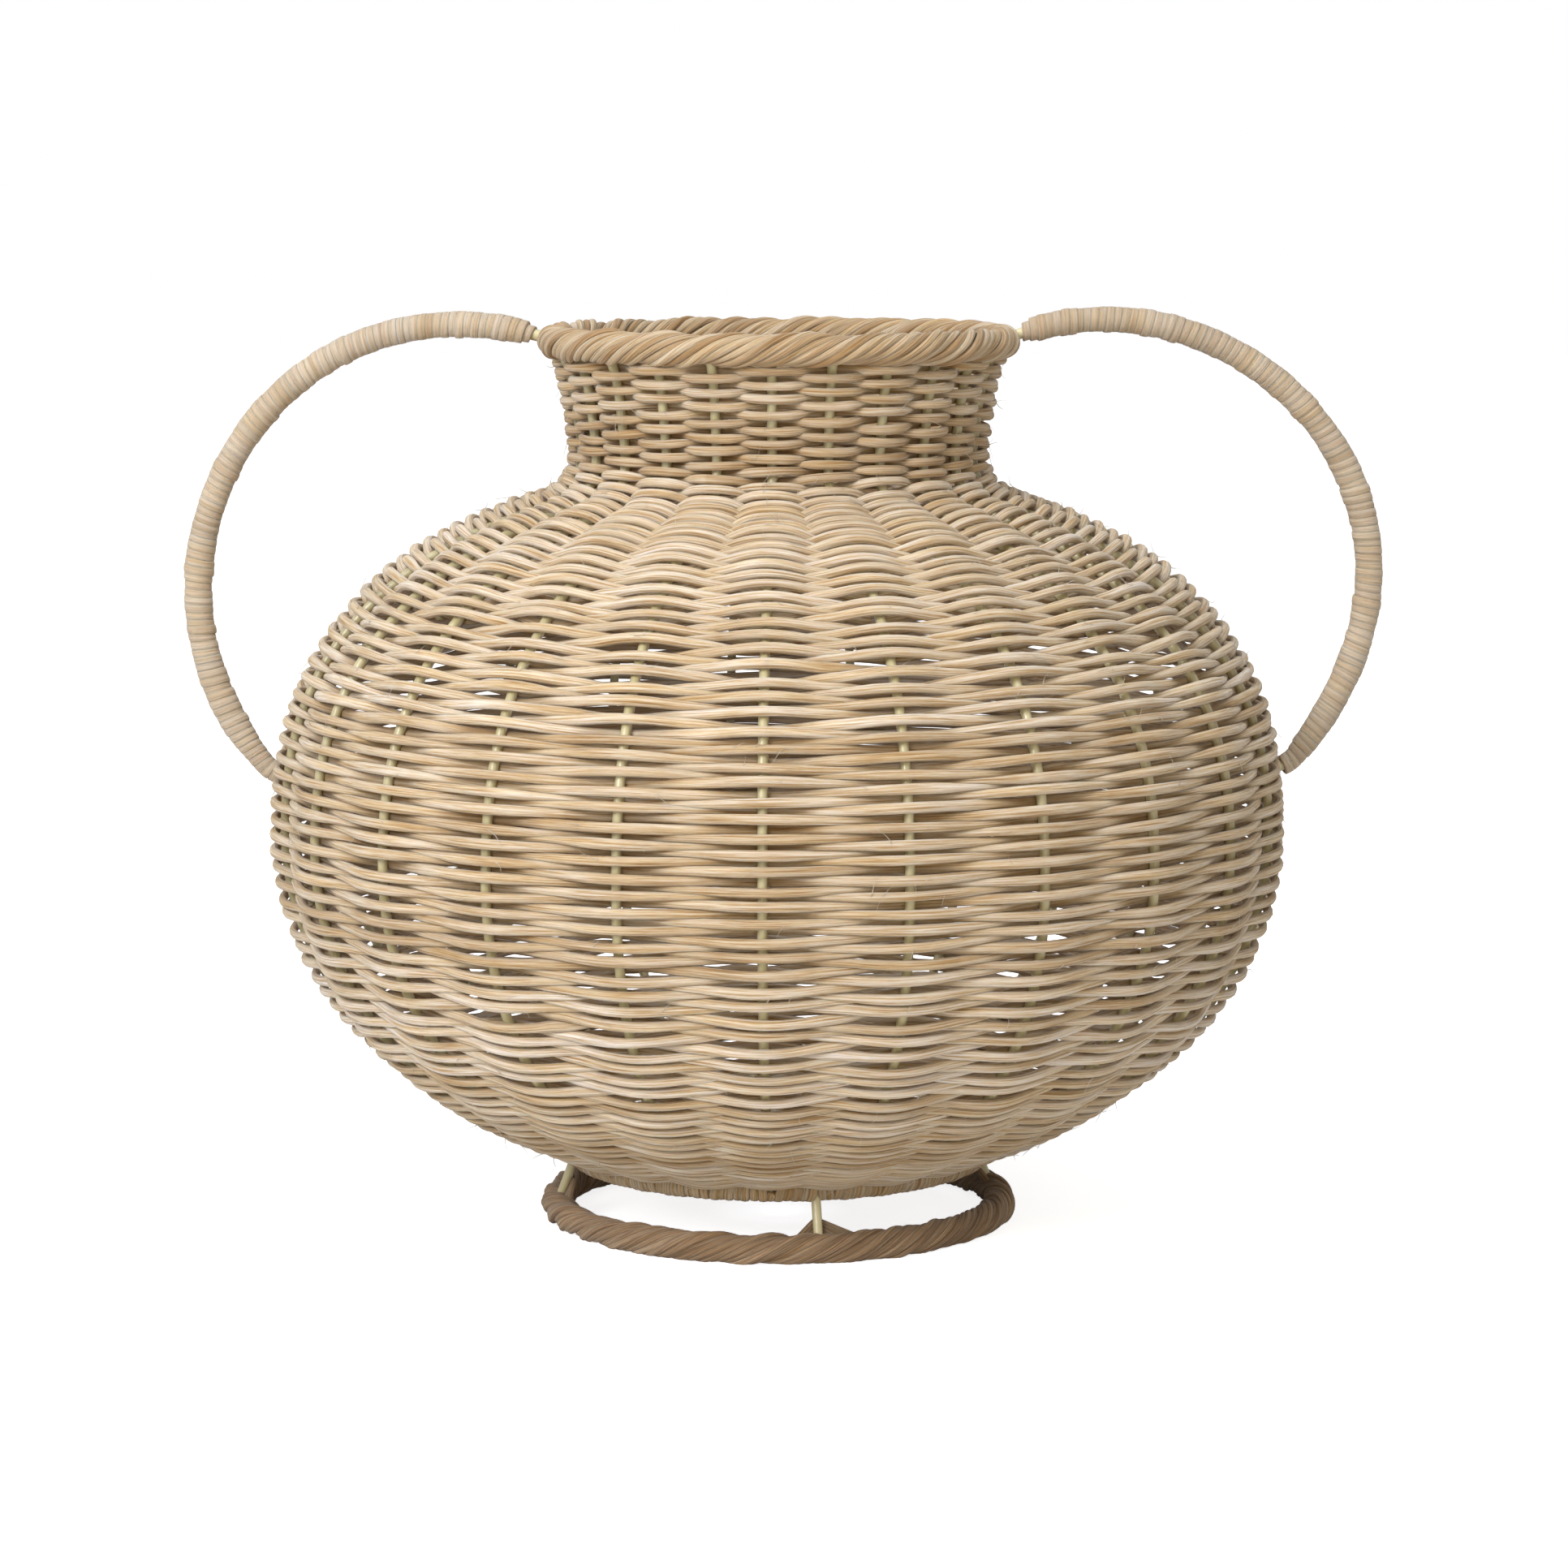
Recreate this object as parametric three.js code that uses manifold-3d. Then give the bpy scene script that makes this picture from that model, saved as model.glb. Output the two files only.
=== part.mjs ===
import * as THREE from 'three';
import { mergeVertices } from 'three/addons/utils/BufferGeometryUtils.js';
import Module from 'manifold-3d';

// A round rattan vase with two handles: a welded wire frame, woven and wound with rattan.
// Millimetres, +Z up. The origin is the middle of the circle that the foot stands on.
// The handles lie along X. Azimuths are counted from the front, -Y, towards +X.

const TURN = 2 * Math.PI;

// Gap left between pieces that touch on the real vase
const CLEARANCE = 0.3;

// Wires of the frame
const STAKE_D = 2.7;
const RING_D = 3.2;
const POST_D = 2.8;
const SPOKE_D = 2.7;
const HANDLE_CORE_D = 3.2;
const WIRE_SIDES = 4;
const CORE_SIDES = 6;
const HOLE_SIDES = 6;

// Foot: a wound ring that stands on the floor and carries the base ring on posts
const FOOT_R = 66.2;
const FOOT_ROPE_D = 9.2;
const FOOT_FLAT = 0.6; // depth of the worn flat under the foot
const POSTS = 4;
const FIRST_POST_STAKE = 1; // the stake, counted from the front, that the first post stands beside
const POST_RISE = 16.8; // from the middle of the foot ring to the middle of the base ring

// Body: the line that the stakes follow from the base ring to the rim ring
const STAKES = 23; // odd, so that a single strand changes sides from row to row
const BASE_R = 60;
const BELLY_R = 145.6;
const BELLY_DROP = 106.4; // from the widest place to where the lower curve would close
const BELLY_RISE = 102.4;
const BELLY_DROP_POWER = 2; // 2 is an ellipse, and more is squarer
const BELLY_RISE_POWER = 2.36;
const SHOULDER_FILLET = 16;
const NECK_R = 56.3; // where the neck's line would meet the belly's
const NECK_TOP_R = 61;
const NECK_H = 38.3;
const RIM_FLARE_R = 4.6; // the stakes lean out under the rim
const RIM_FLARE_H = 6.4;
const RIM_ROPE_D = 10;
const BELLY_STEPS = 5;
const SHOULDER_STEPS = 6;
const FILLET_STEPS = 3;

// Weave: each strand passes over one stake and under the next
const STRAND_T = 2.6;
const STRAND_H = 5.4;
const WEAVE_CLEARANCE = 0.7; // between a strand and the stake it passes
const ROW_GAP = 0.9;
const BELLY_WEAVERS = 5; // lengths of strand up to the neck, which has one of its own

// Base: spokes between a hub ring and the base ring, woven like the wall
const SPOKES = 11;
const HUB_R = 10;
const BASE_WEAVE_R = 18; // where the base weave starts

// Winding round the base ring
const BASE_WRAP_T = 2;
const STAKE_GROOVE = 5; // room left between turns for the stakes

// Ropes round the rim ring and the foot ring
const ROPE_STRANDS = 3;
const ROPE_TURNS = 10;
const ROPE_STEPS = 90;
const ROPE_GROOVE = 0.12; // depth of the lay, as a share of the rope's radius

// Handles: one curve from the rim ring down to a stake, and the band wound round it
const HANDLE_JOINT_RISE = 14.8; // above the belly's widest place
// Each handle was bent by hand: degrees above level, and pull along that way, at its two ends
const HANDLE_CURVES = {
  right: { topAngle: 23.5, topPull: 71.9, lowAngle: 51.5, lowPull: 97.2 },
  left: { topAngle: 17.3, topPull: 89, lowAngle: 48.8, lowPull: 76.3 },
};
const HANDLE_BEND = 4;
const HANDLE_BARE = 3; // core left bare beside the rim
const HANDLE_WRAP_D = 8.4;
const HANDLE_WRAP_LOOPS = 24;
const HANDLE_WRAP_GAP = 1.1;
const HANDLE_WRAP_CREST = 0.6; // width of a turn's crest, as a share of its foot
const HANDLE_STEPS = 16;
const LOOP_STEPS = 6;

// Sizes that follow from those above
const FOOT_Z = FOOT_ROPE_D / 2 - FOOT_FLAT;
const BASE_Z = FOOT_Z + POST_RISE;
const STAKE_STEP = TURN / STAKES;
const ROW_PITCH = STRAND_H + ROW_GAP;
const STRAND_OFFSET = (STAKE_D + STRAND_T) / 2 + WEAVE_CLEARANCE;
const WEAVE_DEPTH = STRAND_OFFSET + STRAND_T / 2; // from the stakes' line to the weave's face
const RING_SEAT = RING_D / 2 + CLEARANCE; // from a ring's middle to a wire welded to it
const BASE_WRAP_R = RING_SEAT + BASE_WRAP_T;
const RIM_R = NECK_TOP_R + RIM_FLARE_R;
const HANDLE_STAKE = Math.round(STAKES / 4);

const wasm = await Module();
wasm.setup();

const rattan = new THREE.MeshStandardMaterial({ color: 0xc3a67d, roughness: 0.7, metalness: 0 });
const handleRattan = new THREE.MeshStandardMaterial({ color: 0xcdb391, roughness: 0.7, metalness: 0 });
const footRattan = new THREE.MeshStandardMaterial({ color: 0x8f7458, roughness: 0.75, metalness: 0 });
const paintedWire = new THREE.MeshStandardMaterial({ color: 0xc6ba82, roughness: 0.4, metalness: 0.2 });

const vase = new THREE.Group();

function addPiece(name, geometry, material) {
  geometry.computeVertexNormals();
  const piece = new THREE.Mesh(geometry, material);
  piece.name = name;
  vase.add(piece);
}

// Places round the vertical axis

function ringPoint(azimuth, radius, height) {
  return new THREE.Vector3(radius * Math.sin(azimuth), -radius * Math.cos(azimuth), height);
}

function ringDirection(azimuth) {
  return new THREE.Vector3(Math.cos(azimuth), Math.sin(azimuth), 0);
}

// A line in an upright plane through the axis: x is the distance from the axis, y the height
class UprightLine {
  constructor(points) {
    this.points = points;
    this.distances = [0];
    for (let i = 1; i < points.length; i++) {
      this.distances.push(this.distances[i - 1] + points[i].distanceTo(points[i - 1]));
    }
    this.length = this.distances.at(-1);
    this.tangents = points.map((point, i) => {
      const before = points[Math.max(i - 1, 0)];
      const after = points[Math.min(i + 1, points.length - 1)];
      return after.clone().sub(before).normalize();
    });
  }

  // The point, the direction along the line and the direction out of its right side
  at(distance) {
    let i = 1;
    while (i < this.points.length - 1 && this.distances[i] < distance) {
      i++;
    }
    const share = (distance - this.distances[i - 1]) / (this.distances[i] - this.distances[i - 1]);
    const point = this.points[i - 1].clone().lerp(this.points[i], share);
    const along = this.tangents[i - 1].clone().lerp(this.tangents[i], share).normalize();
    const side = new THREE.Vector2(along.y, -along.x);
    return { point, along, side };
  }

  // The line between two distances, as points in space
  between(start, end, azimuth) {
    const inner = this.points.filter((_, i) => this.distances[i] > start && this.distances[i] < end);
    const all = [this.at(start).point, ...inner, this.at(end).point];
    return all.map((point) => ringPoint(azimuth, point.x, point.y));
  }
}

// A path with one step at each of its points
class PointPath extends THREE.Curve {
  constructor(points) {
    super();
    this.points = points;
  }

  getUtoTmapping(share) {
    return share;
  }

  getPoint(share, target = new THREE.Vector3()) {
    const place = THREE.MathUtils.clamp(share, 0, 1) * (this.points.length - 1);
    const i = Math.min(Math.floor(place), this.points.length - 2);
    return target.copy(this.points[i]).lerp(this.points[i + 1], place - i);
  }
}

// Solids

function wire(points, diameter, sides = WIRE_SIDES) {
  const corners = [];
  for (let k = 0; k < sides; k++) {
    const angle = (TURN * k) / sides;
    corners.push(new THREE.Vector2(Math.cos(angle), Math.sin(angle)).multiplyScalar(diameter / 2));
  }
  const extrudePath = new PointPath(points);
  const steps = points.length - 1;
  return new THREE.ExtrudeGeometry(new THREE.Shape(corners), { extrudePath, steps, bevelEnabled: false });
}

// A wire ring with a corner at every stake, or at more places
function ringWire(radius, diameter, height, steps = STAKES) {
  const ring = new THREE.TorusGeometry(radius, diameter / 2, WIRE_SIDES, steps);
  return ring.rotateZ(-TURN / 4).translate(0, 0, height);
}

// Cutters for the holes that clear a wire, however it is turned, and a ring
function wireHole(points, diameter) {
  const across = (diameter + 2 * CLEARANCE) / Math.cos(Math.PI / HOLE_SIDES);
  return wire(points, across, HOLE_SIDES);
}

function ringHole(radius, diameter, height) {
  return ringWire(radius, diameter + (2 * CLEARANCE) / Math.cos(Math.PI / WIRE_SIDES), height);
}

// A skin over a row of sections, each a ring of points, with capped ends or closed on itself
function loft(sections, closed = false) {
  const sides = sections[0].length;
  const indices = [];
  const spans = closed ? sections.length : sections.length - 1;
  for (let i = 0; i < spans; i++) {
    const here = i * sides;
    const next = ((i + 1) % sections.length) * sides;
    for (let k = 0; k < sides; k++) {
      const beside = (k + 1) % sides;
      indices.push(here + k, here + beside, next + beside);
      indices.push(here + k, next + beside, next + k);
    }
  }
  if (!closed) {
    const last = (sections.length - 1) * sides;
    for (let k = 1; k < sides - 1; k++) {
      indices.push(0, k + 1, k);
      indices.push(last, last + k, last + k + 1);
    }
  }
  const geometry = new THREE.BufferGeometry().setFromPoints(sections.flat());
  geometry.setIndex(indices);
  return geometry;
}

function solidOf(geometry) {
  const bare = geometry.clone();
  bare.deleteAttribute('normal');
  bare.deleteAttribute('uv');
  const merged = mergeVertices(bare);
  const vertProperties = new Float32Array(merged.attributes.position.array);
  const triVerts = new Uint32Array(merged.index.array);
  return new wasm.Manifold(new wasm.Mesh({ numProp: 3, vertProperties, triVerts }));
}

function cut(geometry, cutters) {
  let solid = solidOf(geometry);
  for (const cutter of cutters) {
    solid = solid.subtract(solidOf(cutter));
  }
  const { vertProperties, triVerts } = solid.getMesh();
  const result = new THREE.BufferGeometry();
  result.setAttribute('position', new THREE.BufferAttribute(vertProperties, 3));
  result.setIndex(new THREE.BufferAttribute(triVerts, 1));
  return result;
}

// A twisted rope laid in a ring
function rope(radius, diameter, height) {
  const sections = [];
  for (let i = 0; i < ROPE_STEPS; i++) {
    const azimuth = (TURN * i) / ROPE_STEPS;
    const section = [];
    for (let k = 0; k < 2 * ROPE_STRANDS; k++) {
      const angle = ROPE_TURNS * azimuth - (TURN * k) / (2 * ROPE_STRANDS) - TURN / 4;
      const reach = (diameter / 2) * (k % 2 === 0 ? 1 : 1 - ROPE_GROOVE);
      const out = radius + reach * Math.cos(angle);
      section.push(ringPoint(azimuth, out, height + reach * Math.sin(angle)));
    }
    sections.push(section);
  }
  return loft(sections, true);
}

// One strand woven in and out of the uprights at the given azimuths, rising along a line
function strand(line, azimuths, firstRow, startPass, endPass) {
  const passAt = (count) => {
    const rounds = Math.floor(count / azimuths.length);
    const azimuth = azimuths[count % azimuths.length] + TURN * rounds;
    const distance = firstRow + (ROW_PITCH * (azimuth - azimuths[0])) / TURN;
    return { azimuth, distance, offset: count % 2 === 0 ? STRAND_OFFSET : -STRAND_OFFSET };
  };
  const sectionAt = (count) => {
    const before = passAt(Math.floor(count));
    const after = passAt(Math.ceil(count));
    const share = count - Math.floor(count);
    const { lerp } = THREE.MathUtils;
    const azimuth = lerp(before.azimuth, after.azimuth, share);
    const offset = lerp(before.offset, after.offset, share);
    const { point, along, side } = line.at(lerp(before.distance, after.distance, share));
    const corners = [
      [offset + STRAND_T / 2, 0],
      [offset - STRAND_T / 2, -STRAND_H / 2],
      [offset - STRAND_T / 2, STRAND_H / 2],
    ];
    return corners.map(([out, up]) => {
      const corner = point.clone().addScaledVector(side, out).addScaledVector(along, up);
      return ringPoint(azimuth, corner.x, corner.y);
    });
  };
  const spacing = (TURN / azimuths.length) * line.at(passAt(startPass).distance).point.x;
  const endShare = CLEARANCE / spacing;
  const sections = [sectionAt(startPass + endShare)];
  for (let count = startPass + 1; count < endPass; count++) {
    sections.push(sectionAt(count));
  }
  sections.push(sectionAt(endPass - endShare));
  return loft(sections);
}

// A flat band wound round a wire; place gives the point beside the wire at a distance, reach and angle
function winding(name, place, { start, pitch, steps, loopSteps, inner, outer, width, crest, phase }) {
  const sections = [];
  for (let i = 0; i <= steps; i++) {
    const middle = start + (pitch * i) / loopSteps;
    const angle = phase + (TURN * i) / loopSteps;
    sections.push([
      place(middle - width / 2, inner, angle),
      place(middle - crest / 2, outer, angle),
      place(middle + crest / 2, outer, angle),
      place(middle + width / 2, inner, angle),
    ]);
  }
  console.log(`${name}: least gap between turns ${leastGap(sections, loopSteps).toFixed(2)} mm`);
  return loft(sections);
}

function leastGap(sections, loopSteps) {
  let least = Infinity;
  for (let i = 0; i < sections.length; i++) {
    for (let j = i + loopSteps - 1; j < sections.length; j++) {
      for (const here of sections[i]) {
        for (const there of sections[j]) {
          least = Math.min(least, here.distanceTo(there));
        }
      }
    }
  }
  return least;
}

// The stakes' line: belly, shoulder, neck and flare

function bellyDepth(radius, power) {
  return Math.pow(1 - Math.pow(radius / BELLY_R, power), 1 / power);
}

const BELLY_Z = BASE_Z + BELLY_DROP * bellyDepth(BASE_R, BELLY_DROP_POWER);
const SHOULDER_Z = BELLY_Z + BELLY_RISE * bellyDepth(NECK_R, BELLY_RISE_POWER);
const NECK_TOP_Z = SHOULDER_Z + NECK_H;
const RIM_Z = NECK_TOP_Z + RIM_FLARE_H;

// Points of the belly's curve from its widest place to a smaller radius, evenly turned
function bellyCurve(endRadius, reach, power, steps) {
  const endAngle = Math.acos(Math.pow(endRadius / BELLY_R, power / 2));
  const points = [];
  for (let i = 0; i <= steps; i++) {
    const angle = (endAngle * i) / steps;
    const radius = BELLY_R * Math.pow(Math.cos(angle), 2 / power);
    points.push(new THREE.Vector2(radius, BELLY_Z + reach * Math.pow(Math.sin(angle), 2 / power)));
  }
  return points;
}

function stakeLinePoints() {
  const lower = bellyCurve(BASE_R, -BELLY_DROP, BELLY_DROP_POWER, BELLY_STEPS).reverse();
  const upper = bellyCurve(NECK_R + SHOULDER_FILLET, BELLY_RISE, BELLY_RISE_POWER, SHOULDER_STEPS);
  const corner = new THREE.Vector2(NECK_R, SHOULDER_Z);
  const neckTop = new THREE.Vector2(NECK_TOP_R, NECK_TOP_Z);
  const neckFoot = corner.clone().lerp(neckTop, SHOULDER_FILLET / NECK_H);
  const fillet = new THREE.QuadraticBezierCurve(upper.at(-1), corner, neckFoot);
  const rim = new THREE.Vector2(RIM_R, RIM_Z);
  return [...lower, ...upper.slice(1), ...fillet.getPoints(FILLET_STEPS).slice(1), neckTop, rim];
}

const stakeLine = new UprightLine(stakeLinePoints());
const neckTopDistance = stakeLine.distances.at(-2);
const neckRootDistance = stakeLine.distances.at(-2 - FILLET_STEPS); // in the shoulder's hollow
const stakeAzimuths = Array.from({ length: STAKES }, (_, k) => k * STAKE_STEP);

// Rings of the frame

addPiece('base_ring', ringWire(BASE_R, RING_D, BASE_Z, 2 * STAKES), paintedWire);
addPiece('rim_ring', ringWire(RIM_R, RING_D, RIM_Z), paintedWire);
addPiece('foot_ring', ringWire(FOOT_R, RING_D, FOOT_Z), paintedWire);
addPiece('hub_ring', ringWire(HUB_R, RING_D, BASE_Z), paintedWire);

// Stakes, butted against the base ring and the rim ring

stakeAzimuths.forEach((azimuth, k) => {
  const points = stakeLine.between(RING_SEAT, stakeLine.length - RING_SEAT, azimuth);
  const number = String(k + 1).padStart(2, '0');
  addPiece(`stake_${number}`, wire(points, STAKE_D), paintedWire);
});

// Weave of the wall: one spiral in several lengths, each joined to the next behind a stake

const firstRow = BASE_WRAP_R + CLEARANCE + STRAND_H / 2;
const lastRow = neckTopDistance - STRAND_H / 2;
const passes = Math.floor(((lastRow - firstRow) / ROW_PITCH) * STAKES);
const neckPass = Math.floor(((neckRootDistance - firstRow) / ROW_PITCH) * STAKES);

const jointPasses = [];
for (let weaver = 0; weaver <= BELLY_WEAVERS; weaver++) {
  jointPasses.push(2 * Math.floor((neckPass * weaver) / BELLY_WEAVERS / 2) + 1);
}
jointPasses.push(2 * Math.floor(passes / 2) - 1);

jointPasses.slice(1).forEach((endPass, i) => {
  const geometry = strand(stakeLine, stakeAzimuths, firstRow, jointPasses[i], endPass);
  addPiece(`weaver_${i + 1}`, geometry, rattan);
});

// Winding of the base ring, with a groove between turns at every stake

const stakeRise = stakeLine.tangents[0].angle();
const baseWrapPitch = BASE_R * STAKE_STEP;

function ringPlace(along, reach, angle) {
  return ringPoint(along / BASE_R, BASE_R + reach * Math.cos(angle), BASE_Z + reach * Math.sin(angle));
}

// The azimuth of the groove at a stake, on the side of the ring that faces an angle above level
function grooveAzimuth(stake, angle) {
  return STAKE_STEP * (stake + (angle - stakeRise) / TURN);
}

const baseWrap = winding('base_ring_wrap', ringPlace, {
  start: baseWrapPitch / 2,
  pitch: baseWrapPitch,
  steps: STAKES * LOOP_STEPS - 1,
  loopSteps: LOOP_STEPS,
  inner: RING_SEAT / Math.cos(Math.PI / LOOP_STEPS),
  outer: BASE_WRAP_R / Math.cos(Math.PI / LOOP_STEPS),
  width: baseWrapPitch - STAKE_GROOVE,
  crest: baseWrapPitch - STAKE_GROOVE,
  phase: stakeRise,
});
addPiece('base_ring_wrap', baseWrap, rattan);

// Base: hub ring, spokes and weave

const spokeAzimuths = Array.from({ length: SPOKES }, (_, i) => {
  return grooveAzimuth(Math.round((i * STAKES) / SPOKES), Math.PI);
});
const baseLine = new UprightLine([new THREE.Vector2(HUB_R, BASE_Z), new THREE.Vector2(BASE_R, BASE_Z)]);

spokeAzimuths.forEach((azimuth, i) => {
  const points = baseLine.between(RING_SEAT, baseLine.length - RING_SEAT, azimuth);
  const number = String(i + 1).padStart(2, '0');
  addPiece(`spoke_${number}`, wire(points, SPOKE_D), paintedWire);
});

const baseFirstRow = BASE_WEAVE_R - HUB_R;
const baseLastRow = baseLine.length - BASE_WRAP_R - CLEARANCE - STRAND_H / 2;
const basePasses = Math.floor(((baseLastRow - baseFirstRow) / ROW_PITCH) * SPOKES);
addPiece('base_weaver', strand(baseLine, spokeAzimuths, baseFirstRow, 1, basePasses), rattan);

// Foot posts, from a groove of the base ring's winding to the foot ring

const postFoot = new THREE.Vector2(FOOT_R, FOOT_Z);
const postHead = new THREE.Vector2(BASE_R, BASE_Z);
const postLine = new UprightLine([postFoot, postHead]);
const postAngle = postFoot.clone().sub(postHead).angle();

function postAzimuth(post) {
  const stake = FIRST_POST_STAKE + Math.round((post * STAKES) / POSTS);
  return grooveAzimuth(stake, postAngle - TURN);
}

const footCutters = [ringHole(FOOT_R, RING_D, FOOT_Z)];
for (let post = 0; post < POSTS; post++) {
  const azimuth = postAzimuth(post);
  const points = postLine.between(RING_SEAT, postLine.length - RING_SEAT, azimuth);
  addPiece(`foot_post_${post + 1}`, wire(points, POST_D), paintedWire);
  footCutters.push(wireHole(postLine.between(0, FOOT_ROPE_D, azimuth), POST_D));
}

// Foot rope, wound round the foot ring and worn flat underneath

const floorSize = 4 * FOOT_R;
const floor = new THREE.BoxGeometry(floorSize, floorSize, FOOT_ROPE_D).translate(0, 0, -FOOT_ROPE_D / 2);
addPiece('foot_rope', cut(rope(FOOT_R, FOOT_ROPE_D, FOOT_Z), [...footCutters, floor]), footRattan);

// Handles

// The place where a strand passes behind a stake that is nearest to a height
function passBehind(stake, height) {
  let nearest = null;
  for (let count = stake; count < passes; count += STAKES) {
    const place = stakeLine.at(firstRow + (ROW_PITCH * count) / STAKES);
    const miss = Math.abs(place.point.y - height);
    if (count % 2 === 1 && (nearest === null || miss < nearest.miss)) {
      nearest = { miss, ...place };
    }
  }
  return nearest;
}

function direction(degrees) {
  const angle = THREE.MathUtils.degToRad(degrees);
  return new THREE.Vector2(Math.cos(angle), Math.sin(angle));
}

// From the rim ring over the arch to the weave, then in between two strands to the stake
function handleLines(stake, { topAngle, topPull, lowAngle, lowPull }) {
  const joint = passBehind(stake, BELLY_Z + HANDLE_JOINT_RISE);
  const low = direction(lowAngle);
  const standOff = WEAVE_DEPTH + HANDLE_CORE_D / 2 + CLEARANCE;
  const elbow = joint.point.clone().addScaledVector(joint.side, standOff);
  const rim = new THREE.Vector2(RIM_R, RIM_Z);
  const archEnd = elbow.clone().addScaledVector(low, HANDLE_BEND);
  const archTop = rim.clone().addScaledVector(direction(topAngle), topPull);
  const archLow = archEnd.clone().addScaledVector(low, lowPull);
  const arch = new THREE.CubicBezierCurve(rim, archTop, archLow, archEnd).getPoints(HANDLE_STEPS);
  const bendEnd = elbow.clone().addScaledVector(joint.side, -HANDLE_BEND);
  const bend = new THREE.QuadraticBezierCurve(archEnd, elbow, bendEnd).getPoints(FILLET_STEPS);
  const archEndGap = archEnd.clone().sub(joint.point).dot(joint.side);
  const wrapGap = WEAVE_DEPTH + HANDLE_WRAP_D / 2 + CLEARANCE;
  const wrapStop = Math.max(0, (wrapGap - archEndGap) / low.dot(joint.side));
  return {
    arch: new UprightLine(arch),
    core: new UprightLine([...arch, ...bend.slice(1), joint.point]),
    wrapStop,
  };
}

const stakeSeat = STAKE_D / 2 + CLEARANCE;

// The channel under the rim rope that takes the rim ring and the stakes' tops
function rimSlot() {
  const { point, along, side } = stakeLine.at(stakeLine.length);
  const flare = stakeLine.length - neckTopDistance;
  const corners = [[-flare, -1], [-flare, 1], [RING_SEAT, 1], [RING_SEAT, -1], [-flare, -1]];
  const profile = corners.map(([up, out]) => {
    return point.clone().addScaledVector(along, up).addScaledVector(side, out * RING_SEAT);
  });
  const slot = new THREE.LatheGeometry(profile, STAKES);
  return slot.rotateX(TURN / 4).rotateZ(Math.PI);
}

const rimCutters = [rimSlot()];

function addHandle(name, stake, azimuth) {
  const { arch, core, wrapStop } = handleLines(stake, HANDLE_CURVES[name]);
  const corePoints = core.between(RING_SEAT, core.length - stakeSeat, azimuth);
  addPiece(`handle_core_${name}`, wire(corePoints, HANDLE_CORE_D, CORE_SIDES), paintedWire);
  const rootPoints = core.between(0, RIM_ROPE_D, azimuth);
  rimCutters.push(wireHole(rootPoints, HANDLE_CORE_D));

  const place = (along, reach, angle) => {
    const { point, side } = arch.at(along);
    point.addScaledVector(side, reach * Math.cos(angle));
    const aside = ringDirection(azimuth).multiplyScalar(-reach * Math.sin(angle));
    return ringPoint(azimuth, point.x, point.y).add(aside);
  };
  const wrapStart = RIM_ROPE_D / 2 + HANDLE_BARE;
  const pitch = (arch.length - wrapStop - wrapStart) / (HANDLE_WRAP_LOOPS + 1);
  const width = pitch - HANDLE_WRAP_GAP;
  const wrap = winding(`handle_wrap_${name}`, place, {
    start: wrapStart + pitch / 2,
    pitch,
    steps: HANDLE_WRAP_LOOPS * LOOP_STEPS,
    loopSteps: LOOP_STEPS,
    inner: (HANDLE_CORE_D / 2 + CLEARANCE) / Math.cos(Math.PI / LOOP_STEPS),
    outer: HANDLE_WRAP_D / 2,
    width,
    crest: width * HANDLE_WRAP_CREST,
    phase: 0,
  });
  addPiece(`handle_wrap_${name}`, wrap, handleRattan);
}

addHandle('right', HANDLE_STAKE, HANDLE_STAKE * STAKE_STEP);
addHandle('left', STAKES - HANDLE_STAKE, -HANDLE_STAKE * STAKE_STEP);

// Rim rope, wound round the rim ring, the stakes' tops and the handles' ends

addPiece('rim_rope', cut(rope(RIM_R, RIM_ROPE_D, RIM_Z), rimCutters), rattan);

export default vase;
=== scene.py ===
"""A round rattan vase with two handles: its weave, ropes, windings and painted wires.

Metres, +Z up, in the frame's own axes. Azimuths are counted from the front, -Y, towards +X.
"""

import math

import bpy
import numpy as np
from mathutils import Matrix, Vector


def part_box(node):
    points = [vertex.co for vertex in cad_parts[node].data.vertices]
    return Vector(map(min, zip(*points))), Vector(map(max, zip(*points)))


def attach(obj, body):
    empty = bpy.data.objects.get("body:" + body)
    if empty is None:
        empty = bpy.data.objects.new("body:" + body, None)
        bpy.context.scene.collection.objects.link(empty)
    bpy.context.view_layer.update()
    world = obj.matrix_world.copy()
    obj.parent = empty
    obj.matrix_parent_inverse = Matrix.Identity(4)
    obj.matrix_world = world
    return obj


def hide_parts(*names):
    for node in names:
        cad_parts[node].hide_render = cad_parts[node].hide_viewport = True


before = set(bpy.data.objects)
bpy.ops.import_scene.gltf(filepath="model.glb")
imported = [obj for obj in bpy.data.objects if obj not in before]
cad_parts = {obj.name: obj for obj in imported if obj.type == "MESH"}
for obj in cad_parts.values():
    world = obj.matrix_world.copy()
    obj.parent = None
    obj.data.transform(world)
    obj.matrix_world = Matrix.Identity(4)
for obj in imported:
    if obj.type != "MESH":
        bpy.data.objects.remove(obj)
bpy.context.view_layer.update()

TURN = 2 * math.pi
SEED = 23
BODY = "root"

# Wires of the frame
STAKE_R = 0.00142
RING_R = 0.0016
POST_R = 0.0014
SPOKE_R = 0.00135
CORE_R = 0.0016
WIRE_SIDES = 12
RING_STEPS = 184
STAKE_STEPS = 120
SPOKE_STEPS = 12  # of a spoke or a post
CORE_STEPS = 180

# Where the grain of each kind of wire begins, so that no two wires are alike
RING_GRAIN_START = 0
STAKE_GRAIN_START = 5
SPOKE_GRAIN_START = 40
POST_GRAIN_START = 60
CORE_GRAIN_START = 70

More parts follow.
